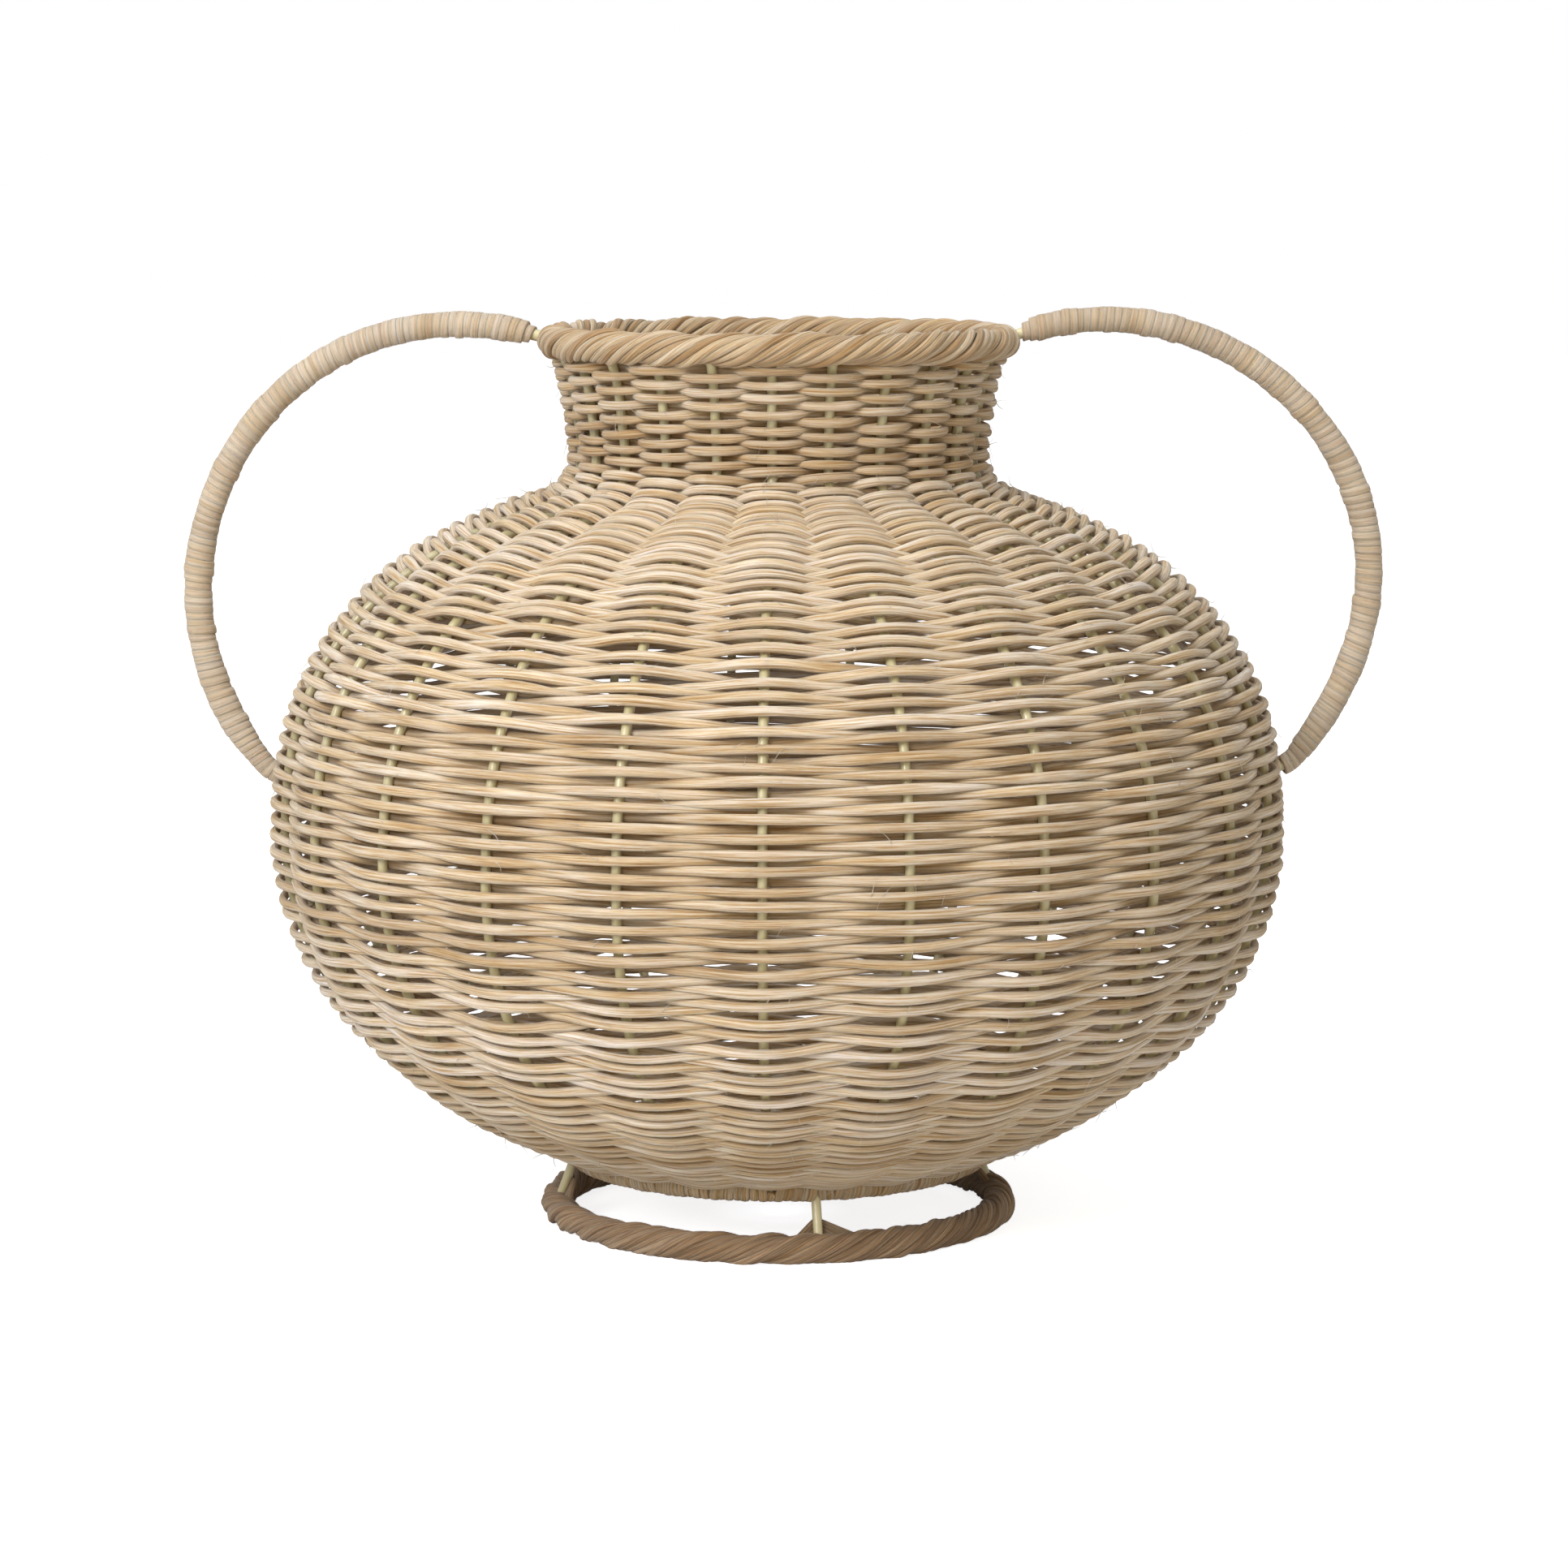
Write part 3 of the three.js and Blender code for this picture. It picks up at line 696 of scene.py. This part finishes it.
def grain(tree, along_waves, round_waves, detail, roughness):
    """Noise drawn out along a strand."""
    place = add_node(tree, "ShaderNodeUVMap", uv_map="Along")
    stretch = add_node(tree, "ShaderNodeMapping")
    stretch.inputs["Scale"].default_value = (along_waves, round_waves, 1)
    noise = add_node(tree, "ShaderNodeTexNoise")
    noise.inputs["Scale"].default_value = 1
    noise.inputs["Detail"].default_value = detail
    noise.inputs["Roughness"].default_value = roughness
    tree.links.new(place.outputs["UV"], stretch.inputs["Vector"])
    tree.links.new(stretch.outputs["Vector"], noise.inputs["Vector"])
    return noise.outputs["Fac"]


def ramp(tree, value, stops):
    node = add_node(tree, "ShaderNodeValToRGB")
    elements = node.color_ramp.elements
    while len(elements) < len(stops):
        elements.new(0.5)
    for element, (place, colour) in zip(elements, stops):
        element.position = place
        element.color = (*colour, 1)
    tree.links.new(value, node.inputs["Fac"])
    return node.outputs["Color"]


def streaked(tree, colour, noise, stops, streak):
    """A colour multiplied by the streaks that a noise picks out."""
    node = add_node(tree, "ShaderNodeMix", data_type="RGBA", blend_type="MULTIPLY")
    node.inputs["Factor"].default_value = 1.0
    streaks = ramp(tree, noise, [(place, streak[kind]) for place, kind in stops])
    first, second = (socket for socket in node.inputs if socket.type == "RGBA")
    tree.links.new(colour, first)
    tree.links.new(streaks, second)
    return next(socket for socket in node.outputs if socket.type == "RGBA")


def bump(tree, height, distance, strength, shader):
    node = add_node(tree, "ShaderNodeBump")
    node.inputs["Distance"].default_value = distance
    node.inputs["Strength"].default_value = strength
    tree.links.new(height, node.inputs["Height"])
    tree.links.new(node.outputs["Normal"], shader.inputs["Normal"])


def rattan_material(name, tones, streak, roughness=RATTAN_ROUGHNESS):
    """Rattan core: its tone by strand, pale and dark streaks along the fibres, and a fibrous surface."""
    material, tree, shader = new_material(name)
    tint = add_node(tree, "ShaderNodeAttribute", attribute_name="tint").outputs["Fac"]
    slow = grain(tree, *SLOW_GRAIN)
    change = scaled(tree, slow, SLOW_CHANGE, -0.5 * SLOW_CHANGE)
    tone = scaled(tree, maths(tree, "ADD", tint, change), 0.5, 0.5)
    fibres = grain(tree, *LINE_GRAIN)
    colour = ramp(tree, tone, list(zip(TONE_STOPS, tones)))
    colour = streaked(tree, colour, grain(tree, *BAND_GRAIN), HUE_STOPS, streak)
    colour = streaked(tree, colour, fibres, LINE_STOPS, streak)
    colour = streaked(tree, colour, grain(tree, *FINE_GRAIN), FINE_STOPS, streak)
    tree.links.new(colour, shader.inputs["Base Color"])
    tree.links.new(scaled(tree, fibres, ROUGHNESS_CHANGE, roughness), shader.inputs["Roughness"])
    bump(tree, fibres, *RATTAN_BUMP, shader)
    set_finish(shader, RATTAN_FINISH)
    return material


def wire_material():
    """Glossy khaki paint with a little unevenness."""
    material, tree, shader = new_material("painted_wire")
    colour = ramp(tree, grain(tree, *PAINT_GRAIN), PAINT_TONES)
    tree.links.new(colour, shader.inputs["Base Color"])
    specks = grain(tree, *SPECK_GRAIN)
    tree.links.new(scaled(tree, specks, ROUGHNESS_CHANGE, PAINT_ROUGHNESS), shader.inputs["Roughness"])
    bump(tree, specks, *PAINT_BUMP, shader)
    set_finish(shader, PAINT_FINISH)
    return material


RATTAN = rattan_material("rattan", RATTAN_TONES, RATTAN_STREAK)
HANDLE_RATTAN = rattan_material("handle_rattan", HANDLE_TONES, HANDLE_STREAK)
FOOT_RATTAN = rattan_material("foot_rattan", FOOT_TONES, FOOT_STREAK, FOOT_ROUGHNESS)
WIRE = wire_material()


# Wires

def line_points(line, azimuth, count):
    """Points along a line at an azimuth, and the directions out of its side."""
    point, side = line.at(np.linspace(0, line.length, count))
    return ring_point(azimuth, point[:, 0], point[:, 1]), upright(azimuth, side[:, 0], side[:, 1])


def wire(name, line, azimuth, count, radius, node, start):
    points, out = line_points(line, azimuth, count)
    strand = Strand(points, out, radius, radius, WIRE_SIDES, start=start)
    make_piece(name, [strand], WIRE, "wire", node)


def ring_wire(node, radius, height, start):
    azimuth = TURN * np.arange(RING_STEPS) / RING_STEPS
    points = ring_point(azimuth, radius, height)
    strand = Strand(points, upright(azimuth, 1, 0), RING_R, RING_R, WIRE_SIDES, closed=True, start=start)
    make_piece(f"{node}_wire", [strand], WIRE, "wire", node)


def make_frame_wires():
    rings = {
        "base_ring": (BASE_RING_R, BASE_RING_Z),
        "rim_ring": (RIM_RING_R, RIM_RING_Z),
        "foot_ring": (FOOT_RING_R, FOOT_RING_Z),
        "hub_ring": (HUB_R, BASE_RING_Z),
    }
    for i, (node, (radius, height)) in enumerate(rings.items()):
        ring_wire(node, radius, height, RING_GRAIN_START + i)
    for k in range(STAKES):
        number = f"{k + 1:02d}"
        azimuth = k * STAKE_STEP
        name = f"stake_wire_{number}"
        wire(name, STAKE_LINE, azimuth, STAKE_STEPS, STAKE_R, f"stake_{number}", STAKE_GRAIN_START + k)
    for i, azimuth in enumerate(spoke_azimuths()):
        number = f"{i + 1:02d}"
        name = f"spoke_wire_{number}"
        wire(name, BASE_LINE, azimuth, SPOKE_STEPS, SPOKE_R, f"spoke_{number}", SPOKE_GRAIN_START + i)
    for post in range(POSTS):
        name = f"post_wire_{post + 1}"
        node = f"foot_post_{post + 1}"
        wire(name, POST_LINE, post_azimuth(post), SPOKE_STEPS, POST_R, node, POST_GRAIN_START + post)


# Weave of the wall

def looseness(distance):
    """How loose the weave is at a place along the stakes' line, from 0 to 1."""
    return sum(share * np.exp(-(((distance - place) / spread) ** 2)) for place, spread, share in LOOSE_ZONES)


def row_places():
    """Distances along the stakes' line and the count of rows below each."""
    distance = np.linspace(0, STAKE_LINE.length, ROW_LINE_STEPS)
    belly = ROW_PITCH * (1 + LOOSE_ROWS * looseness(distance))
    pitch = belly + (NECK_PITCH - belly) * zone(distance, NECK_ROOT_DISTANCE, NECK_PITCH_ZONE)
    rows = np.concatenate([[0], np.cumsum(np.diff(distance) / (0.5 * (pitch[1:] + pitch[:-1])))])
    first = RING_R + 2 * BASE_WRAP_R + STRAND_R
    return distance, rows - np.interp(first, distance, rows)


ROW_DISTANCES, ROW_COUNTS = row_places()


def length_ends():
    """Counts of passes at the ends of the weave's lengths: odd ones, which lie behind a stake."""
    boxes = [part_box(f"weaver_{k + 1}") for k in range(WEAVERS)]
    heights = [(below[1].z + above[0].z) / 2 for below, above in zip(boxes, boxes[1:])]
    distances = [STAKE_LINE.distance_at_height(height) for height in heights]
    rows = np.interp([*distances, NECK_TOP_DISTANCE + NECK_REACH], ROW_DISTANCES, ROW_COUNTS)
    return [2 * math.floor(row * STAKES / 2) + 1 for row in [0, *rows]]


def wandering_rows(around, rows, level, loose):
    """Distances along the stakes' line, with rows that wander between the base ring and the neck's top."""
    drift = ROW_DRIFT * wave_noise((around, rows), DRIFT_WAVES)
    quick = ROW_WANDER * wave_noise((around, rows), WANDER_WAVES)
    free = zone(level, 0, WANDER_START_ZONE) * (1 - zone(level, NECK_TOP_DISTANCE, WANDER_END_ZONE))
    return level + (drift * (1 + LOOSE_DRIFT * loose) + quick) * free


def row_room(distance):
    """The room that a row has, half way to the rows above and below it."""
    turn = STAKES * PASS_STEPS
    above = np.concatenate([distance[turn:], np.full(turn, np.inf)]) - distance
    below = distance - np.concatenate([np.full(turn, -np.inf), distance[:-turn]])
    return np.minimum((above + below) / 2, ROOM_LIMIT * STRAND_R)


def bends(count, level):
    """How far a strand stands in front of the stakes' line, up to 1, or behind it, down to -1."""
    turn = np.cos(math.pi * count)
    peaked = squared(turn, WAVE_PEAK)
    domed = np.tanh(WAVE_DOME * turn) / math.tanh(WAVE_DOME)
    return peaked + (domed - peaked) * zone(level, NECK_ROOT_DISTANCE, DOME_ZONE)


def wall_places(distance, level):
    """Points on the stakes' line and the way out of the wall, which stays the neck's under the rim."""
    point, side = STAKE_LINE.at(distance)
    _, neck_side = STAKE_LINE.at(NECK_TOP_DISTANCE + FLARE_SIDE)
    flared = zone(level, NECK_TOP_DISTANCE, FLARE_ZONE)[:, None]
    return point, unit(side + (neck_side - side) * flared)


def length_tints(distances, length, spread):
    """A tint for each length of rattan along a strand."""
    lengths = math.ceil(distances[-1] / (SHORTEST_LENGTH * length)) + 2
    ends = np.cumsum(length * random.uniform(SHORTEST_LENGTH, 2 - SHORTEST_LENGTH, lengths))
    tints = random.normal(0, spread, lengths + 1)
    return tints[np.searchsorted(ends, distances)]


def make_wall_weave():
    """One spiral round the stakes, cut where the frame's lengths end."""
    ends = length_ends()
    count = np.arange(ends[0] * PASS_STEPS, ends[-1] * PASS_STEPS + 1) / PASS_STEPS
    around = count * STAKE_STEP
    rows = count / STAKES * TURN
    level = np.interp(count / STAKES, ROW_COUNTS, ROW_DISTANCES)
    loose = looseness(level)
    distance = wandering_rows(around, rows, level, loose)
    swell = wave_noise((around, rows), SWELL_WAVES)
    lift = wave_noise((around, rows), LIFT_WAVES)

    # Shape of the strand's section
    neck = zone(level, NECK_ROOT_DISTANCE, NECK_SIZE_ZONE)
    radius = (STRAND_R + (NECK_STRAND_R - STRAND_R) * neck) * (1 + STRAND_SWELL * swell)
    wave = bends(count, level)
    depth = BASE_CALM + (1 - BASE_CALM) * zone(level, 0, CALM_ZONE)
    crossing = 1 - wave**2
    hidden = np.clip(-wave, 0, 1)
    pressed = hidden * (1 - LOOSE_NARROW * loose)
    half_side = radius + (CROSSING_FILL * row_room(distance) - radius) * crossing**CROSSING_POWER
    half_side = half_side * (1 + BACK_WIDE * pressed)
    half_out = radius * (STRAND_FLAT + CROSSING_THICK * crossing - BACK_THIN * pressed)
    half_out = half_out * (CALM_THIN + (1 - CALM_THIN) * depth)

    # Path of the strand
    slack = WAVE_SLACK * (1 + SLACK_CHANGE * lift)
    offset = WAVE_OUT + wave * depth * (STAKE_R + radius * STRAND_FLAT + slack)
    slipped = distance + LOOSE_SLIP * loose * hidden * np.tanh(SLIP_SHARP * lift)
    point, side = wall_places(slipped, level)
    points = ring_point(around, point[:, 0] + side[:, 0] * offset, point[:, 1] + side[:, 1] * offset)
    out = upright(around, side[:, 0], side[:, 1])
    spans = np.linalg.norm(np.diff(points, axis=0), axis=1)
    travelled = np.concatenate([[0], np.cumsum(spans)])
    tint = length_tints(travelled, STRAND_LENGTH, TINT_SPREAD) + SWELL_TINT * swell
    # Painted light on the shoulder and painted shade on the neck, by place on the wall
    # Painted shade on each strand where it passes behind a stake
    tint = tint + np.interp(level / NECK_ROOT_DISTANCE, *zip(*WALL_PAINTED_LIGHT)) - BACK_PAINTED_SHADE * hidden

    for k, (start, end) in enumerate(zip(ends, ends[1:])):
        first = (start - ends[0]) * PASS_STEPS
        part = slice(first, (end - ends[0]) * PASS_STEPS)
        strand = Strand(points[part], out[part], half_out[part], half_side[part], STRAND_SIDES,
                        tint=tint[part], start=travelled[first])
        make_piece(f"wall_weave_{k + 1}", [strand], RATTAN, "rattan", f"weaver_{k + 1}")
    return points, out, half_out, wave


def make_fibres(points, out, half_out, wave):
    """Short stray fibres, each with its root on a strand where it passes in front of a stake."""
    front = np.flatnonzero(wave[1:-1] > FIBRE_FRONT) + 1
    share = np.linspace(0, 1, FIBRE_STEPS)
    strands = []
    for i in range(FIBRES):
        root = random.choice(front)
        along = unit(points[root + 1] - points[root - 1])
        up = np.cross(out[root], along)
        start = points[root] + out[root] * half_out[root] * FIBRE_ROOT
        step = random.uniform(*FIBRE_LENGTHS) / (FIBRE_STEPS - 1)
        heading = random.normal(0, FIBRE_LEAN)
        if random.random() < 0.5:
            heading += math.pi
        turn = heading + random.normal(0, FIBRE_CURL) * share
        forward = np.concatenate([[0], np.cumsum(np.cos(turn[1:]) * step)])
        rise = np.concatenate([[0], np.cumsum(np.sin(turn[1:]) * step)])
        lift = random.uniform(*FIBRE_LIFTS) * share**FIBRE_LIFT_POWER
        places = start + np.outer(forward, along) + np.outer(rise, up) + np.outer(lift, out[root])
        radius = FIBRE_R * random.uniform(*FIBRE_SIZES) * (1 - FIBRE_TAPER * share)
        facing = np.broadcast_to(out[root], places.shape)
        strands.append(Strand(places, facing, radius, radius, FIBRE_SIDES,
                              tint=random.uniform(*FIBRE_TINTS), start=FIBRE_GRAIN_STEP * i))
    make_piece("stray_fibres", strands, RATTAN, "rattan")


# Base

def make_base_weave():
    """A flat spiral, in and out of the spokes."""
    spokes = np.array(spoke_azimuths())
    rows = (BASE_RING_R - RING_R - 2 * BASE_WRAP_R - STRAND_R - BASE_WEAVE_R) / ROW_PITCH
    passes = 2 * math.floor(rows * SPOKES / 2) + 1
    count = np.arange(PASS_STEPS, passes * PASS_STEPS) / PASS_STEPS
    turns = math.ceil(rows) + 2
    places = np.concatenate([spokes + TURN * turn for turn in range(turns)])
    around = np.interp(count, np.arange(len(places)), places)
    radius = BASE_WEAVE_R + ROW_PITCH * count / SPOKES
    wave = np.cos(math.pi * count)
    half_side = STRAND_R + (BASE_FILL * ROW_PITCH - STRAND_R) * (1 - wave**2) ** 2
    offset = -wave * (SPOKE_R + STRAND_R + BASE_SLACK)
    points = ring_point(around, radius, BASE_RING_Z + offset)
    travelled = np.linspace(0, BASE_WEAVE_LENGTH, len(points))
    tint = length_tints(travelled, STRAND_LENGTH, BASE_TINT_SPREAD) - BASE_DARK
    strand = Strand(points, upright(around, 0, -1), STRAND_R, half_side, STRAND_SIDES, tint=tint)
    make_piece("base_weave", [strand], RATTAN, "rattan", "base_weaver")


def base_ring_wires():
    """Azimuth and angle above level of every wire that leaves the base ring."""
    wires = [(k * STAKE_STEP, STAKE_ROOT_ANGLE) for k in range(STAKES)]
    wires += [(azimuth, math.pi) for azimuth in spoke_azimuths()]
    wires += [(post_azimuth(post), POST_ANGLE) for post in range(POSTS)]
    return wires


def make_base_winding():
    """Close turns round the base ring, pressed apart where wires leave it."""
    turns = BASE_WRAP_TURNS * STAKES
    angle = TURN * np.arange(turns * BASE_WRAP_STEPS) / BASE_WRAP_STEPS
    girth = TURN * BASE_RING_R
    pitch = girth / turns
    along = pitch * angle / TURN + BASE_WRAP_CROWD * wander(angle / turns, 29, 47, 61)
    moved = np.zeros(len(along))
    for azimuth, leaves in base_ring_wires():
        turned = (angle - leaves + math.pi) % TURN - math.pi
        beside = along - pitch * turned / TURN - azimuth * BASE_RING_R
        beside = (beside + girth / 2) % girth - girth / 2
        near = np.clip(1 - np.abs(beside) / BASE_WRAP_REACH, 0, 1)
        facing = np.cos(np.clip(turned / BASE_WRAP_FACING, -1, 1) * math.pi / 2) ** 2
        moved += np.sign(beside) * BASE_WRAP_PUSH * near * facing
    azimuth = (along + moved) / BASE_RING_R
    reach = RING_R + BASE_WRAP_R * (1 + BASE_WRAP_SWELL * wander(angle / turns, 37, 83, 131))
    points = ring_point(azimuth, BASE_RING_R + reach * np.cos(angle), BASE_RING_Z + reach * np.sin(angle))
    out = upright(azimuth, np.cos(angle), np.sin(angle))
    travelled = np.linspace(0, BASE_WRAP_LENGTH, len(points))
    tint = length_tints(travelled, BASE_WRAP_TINT_LENGTH, BASE_WRAP_TINT_SPREAD) - BASE_WRAP_DARK
    strand = Strand(points, out, BASE_WRAP_R, WRAP_OVERLAP * pitch, BASE_WRAP_SIDES, tint=tint,
                    square=BASE_WRAP_SQUARE)
    make_piece("base_ring_winding", [strand], RATTAN, "rattan", "base_ring_wrap")


# Ropes

def rope_strands(ring_radius, height, rope_radius, strand_radius, count, groups, dark=0):
    """Strands laid in groups round a ring, rising towards the right on its outer side."""
    azimuth = TURN * np.arange(ROPE_STEPS) / ROPE_STEPS + math.pi
    in_group = count // groups
    strands = []
    for j in range(count):
        group, place = divmod(j, in_group)
        middle = place - (in_group - 1) / 2
        crown = 1 - (middle / (in_group / 2)) ** 2
        lean = wander(azimuth, 3, 5, 8, 13)
        swell = wander(azimuth, 4, 7, 11, 19)
        roll = TURN * (group / groups + ROPE_CROWD * middle / count) + ROPE_TURNS * azimuth
        roll = roll + ROPE_LEAN * lean
        radius = strand_radius * (1 + ROPE_SWELL * swell)
        reach = rope_radius - strand_radius * (1 + ROPE_GROOVE * (1 - crown)) + ROPE_WANDER * swell
        points = ring_point(azimuth, ring_radius + reach * np.cos(roll), height + reach * np.sin(roll))
        facing = upright(azimuth, np.cos(roll), np.sin(roll))
        tint = random.normal(0, TINT_SPREAD) + ROPE_SWELL_TINT * swell - dark
        strands.append(Strand(points, facing, radius, ROPE_WIDE * radius, ROPE_SIDES, tint=tint,
                              closed=True, start=ROPE_GRAIN_STEP * j))
    return strands


def post_turns(place):
    """Strands of the foot rope that rise behind a post, the highest ones widest."""
    share = np.linspace(-1, 1, POST_TURN_STEPS)
    arch = 1 + POST_TURN_ROUND - np.hypot(share, POST_TURN_ROUND)
    reach = np.where(share < 0, *POST_SPREAD) * share
    rope_top = FOOT_RING_Z + FOOT_ROPE_R
    root = rope_top - POST_TURN_ROOT * FOOT_STRAND_R
    behind = (POST_R + FOOT_STRAND_R) * (POST_TURN_TUCK + (1 - POST_TURN_TUCK) * arch)
    strands = []
    for k in range(POST_TURNS):
        rise = POST_TURN_RISE * (k + 1) / POST_TURNS
        width = POST_TURN_INNER + (1 - POST_TURN_INNER) * k / (POST_TURNS - 1)
        azimuth = place + reach * width / FOOT_RING_R
        up = root + (rope_top + rise - root) * arch
        lean = (up - FOOT_RING_Z) / (BASE_RING_Z - FOOT_RING_Z) * (BASE_RING_R - FOOT_RING_R)
        points = ring_point(azimuth, FOOT_RING_R + lean - behind, up)
        half_side = POST_TURN_WIDE * FOOT_STRAND_R
        strands.append(Strand(points, upright(azimuth, 1, 0), FOOT_STRAND_R, half_side, ROPE_SIDES,
                              tint=random.normal(0, TINT_SPREAD), start=POST_TURN_GRAIN_STEP * k))
    return strands


def make_ropes():
    rim = rope_strands(RIM_RING_R, RIM_RING_Z, RIM_ROPE_R, RIM_STRAND_R, RIM_STRANDS, RIM_GROUPS, RIM_DARK)
    make_piece("rim_rope_strands", rim, RATTAN, "rattan", "rim_rope")
    foot = rope_strands(FOOT_RING_R, FOOT_RING_Z, FOOT_ROPE_R, FOOT_STRAND_R, FOOT_STRANDS, FOOT_GROUPS)
    for post in range(POSTS):
        foot += post_turns(post_azimuth(post))
    for strand in foot:
        strand.rings[..., 2] = np.maximum(strand.rings[..., 2], 0)
    make_piece("foot_rope_strands", foot, FOOT_RATTAN, "foot_rattan", "foot_rope")


# Handles

def direction(degrees):
    angle = math.radians(degrees)
    return np.array([math.cos(angle), math.sin(angle)])


def handle_lines(handle):
    """The arch from the rim ring to the weave, and the core that goes on to its stake."""
    joint, side = STAKE_LINE.at(STAKE_LINE.distance_at_height(handle["joint_height"]))
    low = direction(handle["low_angle"])
    elbow = joint + side * (WEAVE_DEPTH + CORE_R + HANDLE_CLEAR)
    rim = np.array([RIM_RING_R, RIM_RING_Z])
    arch_end = elbow + low * HANDLE_BEND
    arch_top = rim + direction(handle["top_angle"]) * handle["top_pull"]
    arch_low = arch_end + low * handle["low_pull"]
    arch = bezier([rim, arch_top, arch_low, arch_end], HANDLE_ARCH_STEPS)
    bend = bezier([arch_end, elbow, elbow - side * HANDLE_BEND], HANDLE_BEND_STEPS)
    return UprightLine(arch), UprightLine(np.concatenate([arch, bend[1:], [joint]]))


def make_handle(name, handle):
    azimuth = handle["stake"] * STAKE_STEP
    bare = handle["bare"]
    arch, core = handle_lines(handle)
    wire(f"handle_wire_{name}", core, azimuth, CORE_STEPS, CORE_R, f"handle_core_{name}", CORE_GRAIN_START)

    # Turns along the core
    end = arch.length + HANDLE_TUCK
    turns = round((end - bare) / HANDLE_WRAP_PITCH)
    angle = TURN * np.arange(turns * HANDLE_WRAP_STEPS) / HANDLE_WRAP_STEPS
    share = angle / angle[-1]
    crowd = HANDLE_CROWD * wander(share * TURN, 7, 11, 16, 23)
    along = bare + (end - bare) * share + crowd * smooth_step(share, *HANDLE_CROWD_ZONE)

    # Thickness of the winding
    swell = wander(share * TURN, 5, 9, 13, 19, 27)
    uneven = np.interp(angle / TURN, np.arange(turns), random.normal(0, HANDLE_UNEVEN, turns))
    low_taper = HANDLE_TAPER + (1 - HANDLE_TAPER) * smooth_step(end - along, 0, HANDLE_TAPER_LENGTH)
    grown = smooth_step(along - bare, *HANDLE_TOP_ZONE)
    top_taper = handle["end_share"] + (1 - handle["end_share"]) * grown
    slim = HANDLE_SLIM + (1 - HANDLE_SLIM) * smooth_step(share, *HANDLE_SLIM_ZONE)
    outer = HANDLE_WRAP_R * (1 + HANDLE_SWELL * swell + uneven) * low_taper * top_taper * slim
    thick = (outer - CORE_R) / 2

    # Strand of the winding
    point, side = core.at(along)
    middle = ring_point(azimuth, point[:, 0], point[:, 1])
    normal = upright(azimuth, side[:, 0], side[:, 1])
    aside = np.array([math.cos(azimuth), math.sin(azimuth), 0])
    facing = normal * np.cos(angle)[:, None] - aside * np.sin(angle)[:, None]
    points = middle + facing * (CORE_R + thick)[:, None]
    travelled = np.linspace(0, HANDLE_LENGTH, len(angle))
    tint = length_tints(travelled, HANDLE_TINT_LENGTH, TINT_SPREAD)
    tint = tint + HANDLE_TURN_TINT * wander(angle, 1 / 7, 1 / 11, 1 / 19)
    strand = Strand(points, facing, thick, WRAP_OVERLAP * HANDLE_WRAP_PITCH, HANDLE_WRAP_SIDES, tint=tint,
                    square=HANDLE_SQUARE)
    make_piece(f"handle_winding_{name}", [strand], HANDLE_RATTAN, "handle_rattan", f"handle_wrap_{name}")


# Stage, light and camera

def make_stage():
    mesh = bpy.data.meshes.new("floor")
    corners = [(x * FLOOR_REACH, y * FLOOR_REACH, 0) for x, y in ((-1, -1), (1, -1), (1, 1), (-1, 1))]
    mesh.from_pydata(corners, [], [(0, 1, 2, 3)])
    floor = bpy.data.objects.new("floor", mesh)
    bpy.context.scene.collection.objects.link(floor)
    material, tree, shader = new_material("pale_floor")
    set_finish(shader, FLOOR_FINISH)
    path = add_node(tree, "ShaderNodeLightPath")
    glow = maths(tree, "MULTIPLY", path.outputs["Is Camera Ray"], FLOOR_GLOW)
    tree.links.new(glow, shader.inputs["Emission Strength"])
    mesh.materials.append(material)


def make_world():
    world = bpy.data.worlds.new("studio")
    bpy.context.scene.world = world
    world.use_nodes = True
    tree = world.node_tree
    back = next(node for node in tree.nodes if node.type == "BACKGROUND")
    path = add_node(tree, "ShaderNodeLightPath")
    seen = path.outputs["Is Camera Ray"]
    for ray in ("Is Glossy Ray", "Is Transmission Ray"):
        seen = maths(tree, "MAXIMUM", seen, path.outputs[ray])
    back.inputs["Color"].default_value = (1, 1, 1, 1)
    tree.links.new(scaled(tree, seen, 1 - WORLD_LEVEL, WORLD_LEVEL), back.inputs["Strength"])


def add_aimed(name, data, place, aim):
    """An object at a place that looks at another."""
    holder = bpy.data.objects.new(name, data)
    bpy.context.scene.collection.objects.link(holder)
    holder.location = place
    way = Vector(aim) - Vector(place)
    holder.rotation_euler = way.to_track_quat("-Z", "Y").to_euler()
    return holder


def make_lamps():
    for name, kind, place, size, watts, colour in LAMPS:
        lamp = bpy.data.lights.new(name, kind)
        if kind == "AREA":
            lamp.size = size
        else:
            lamp.shadow_soft_size = size
        lamp.energy = watts
        lamp.color = colour
        add_aimed(name, lamp, place, LAMP_AIM)


def make_camera():
    camera = bpy.data.cameras.new("camera")
    camera.sensor_width = SENSOR
    camera.lens = CAMERA_LENS
    bpy.context.scene.camera = add_aimed("camera", camera, CAMERA_PLACE, CAMERA_AIM)


make_frame_wires()
make_fibres(*make_wall_weave())
make_base_weave()
make_base_winding()
make_ropes()
for handle_name, handle_sizes in HANDLES.items():
    make_handle(handle_name, handle_sizes)
make_stage()
make_world()
make_lamps()
make_camera()
bpy.context.scene.view_settings.view_transform = "Standard"
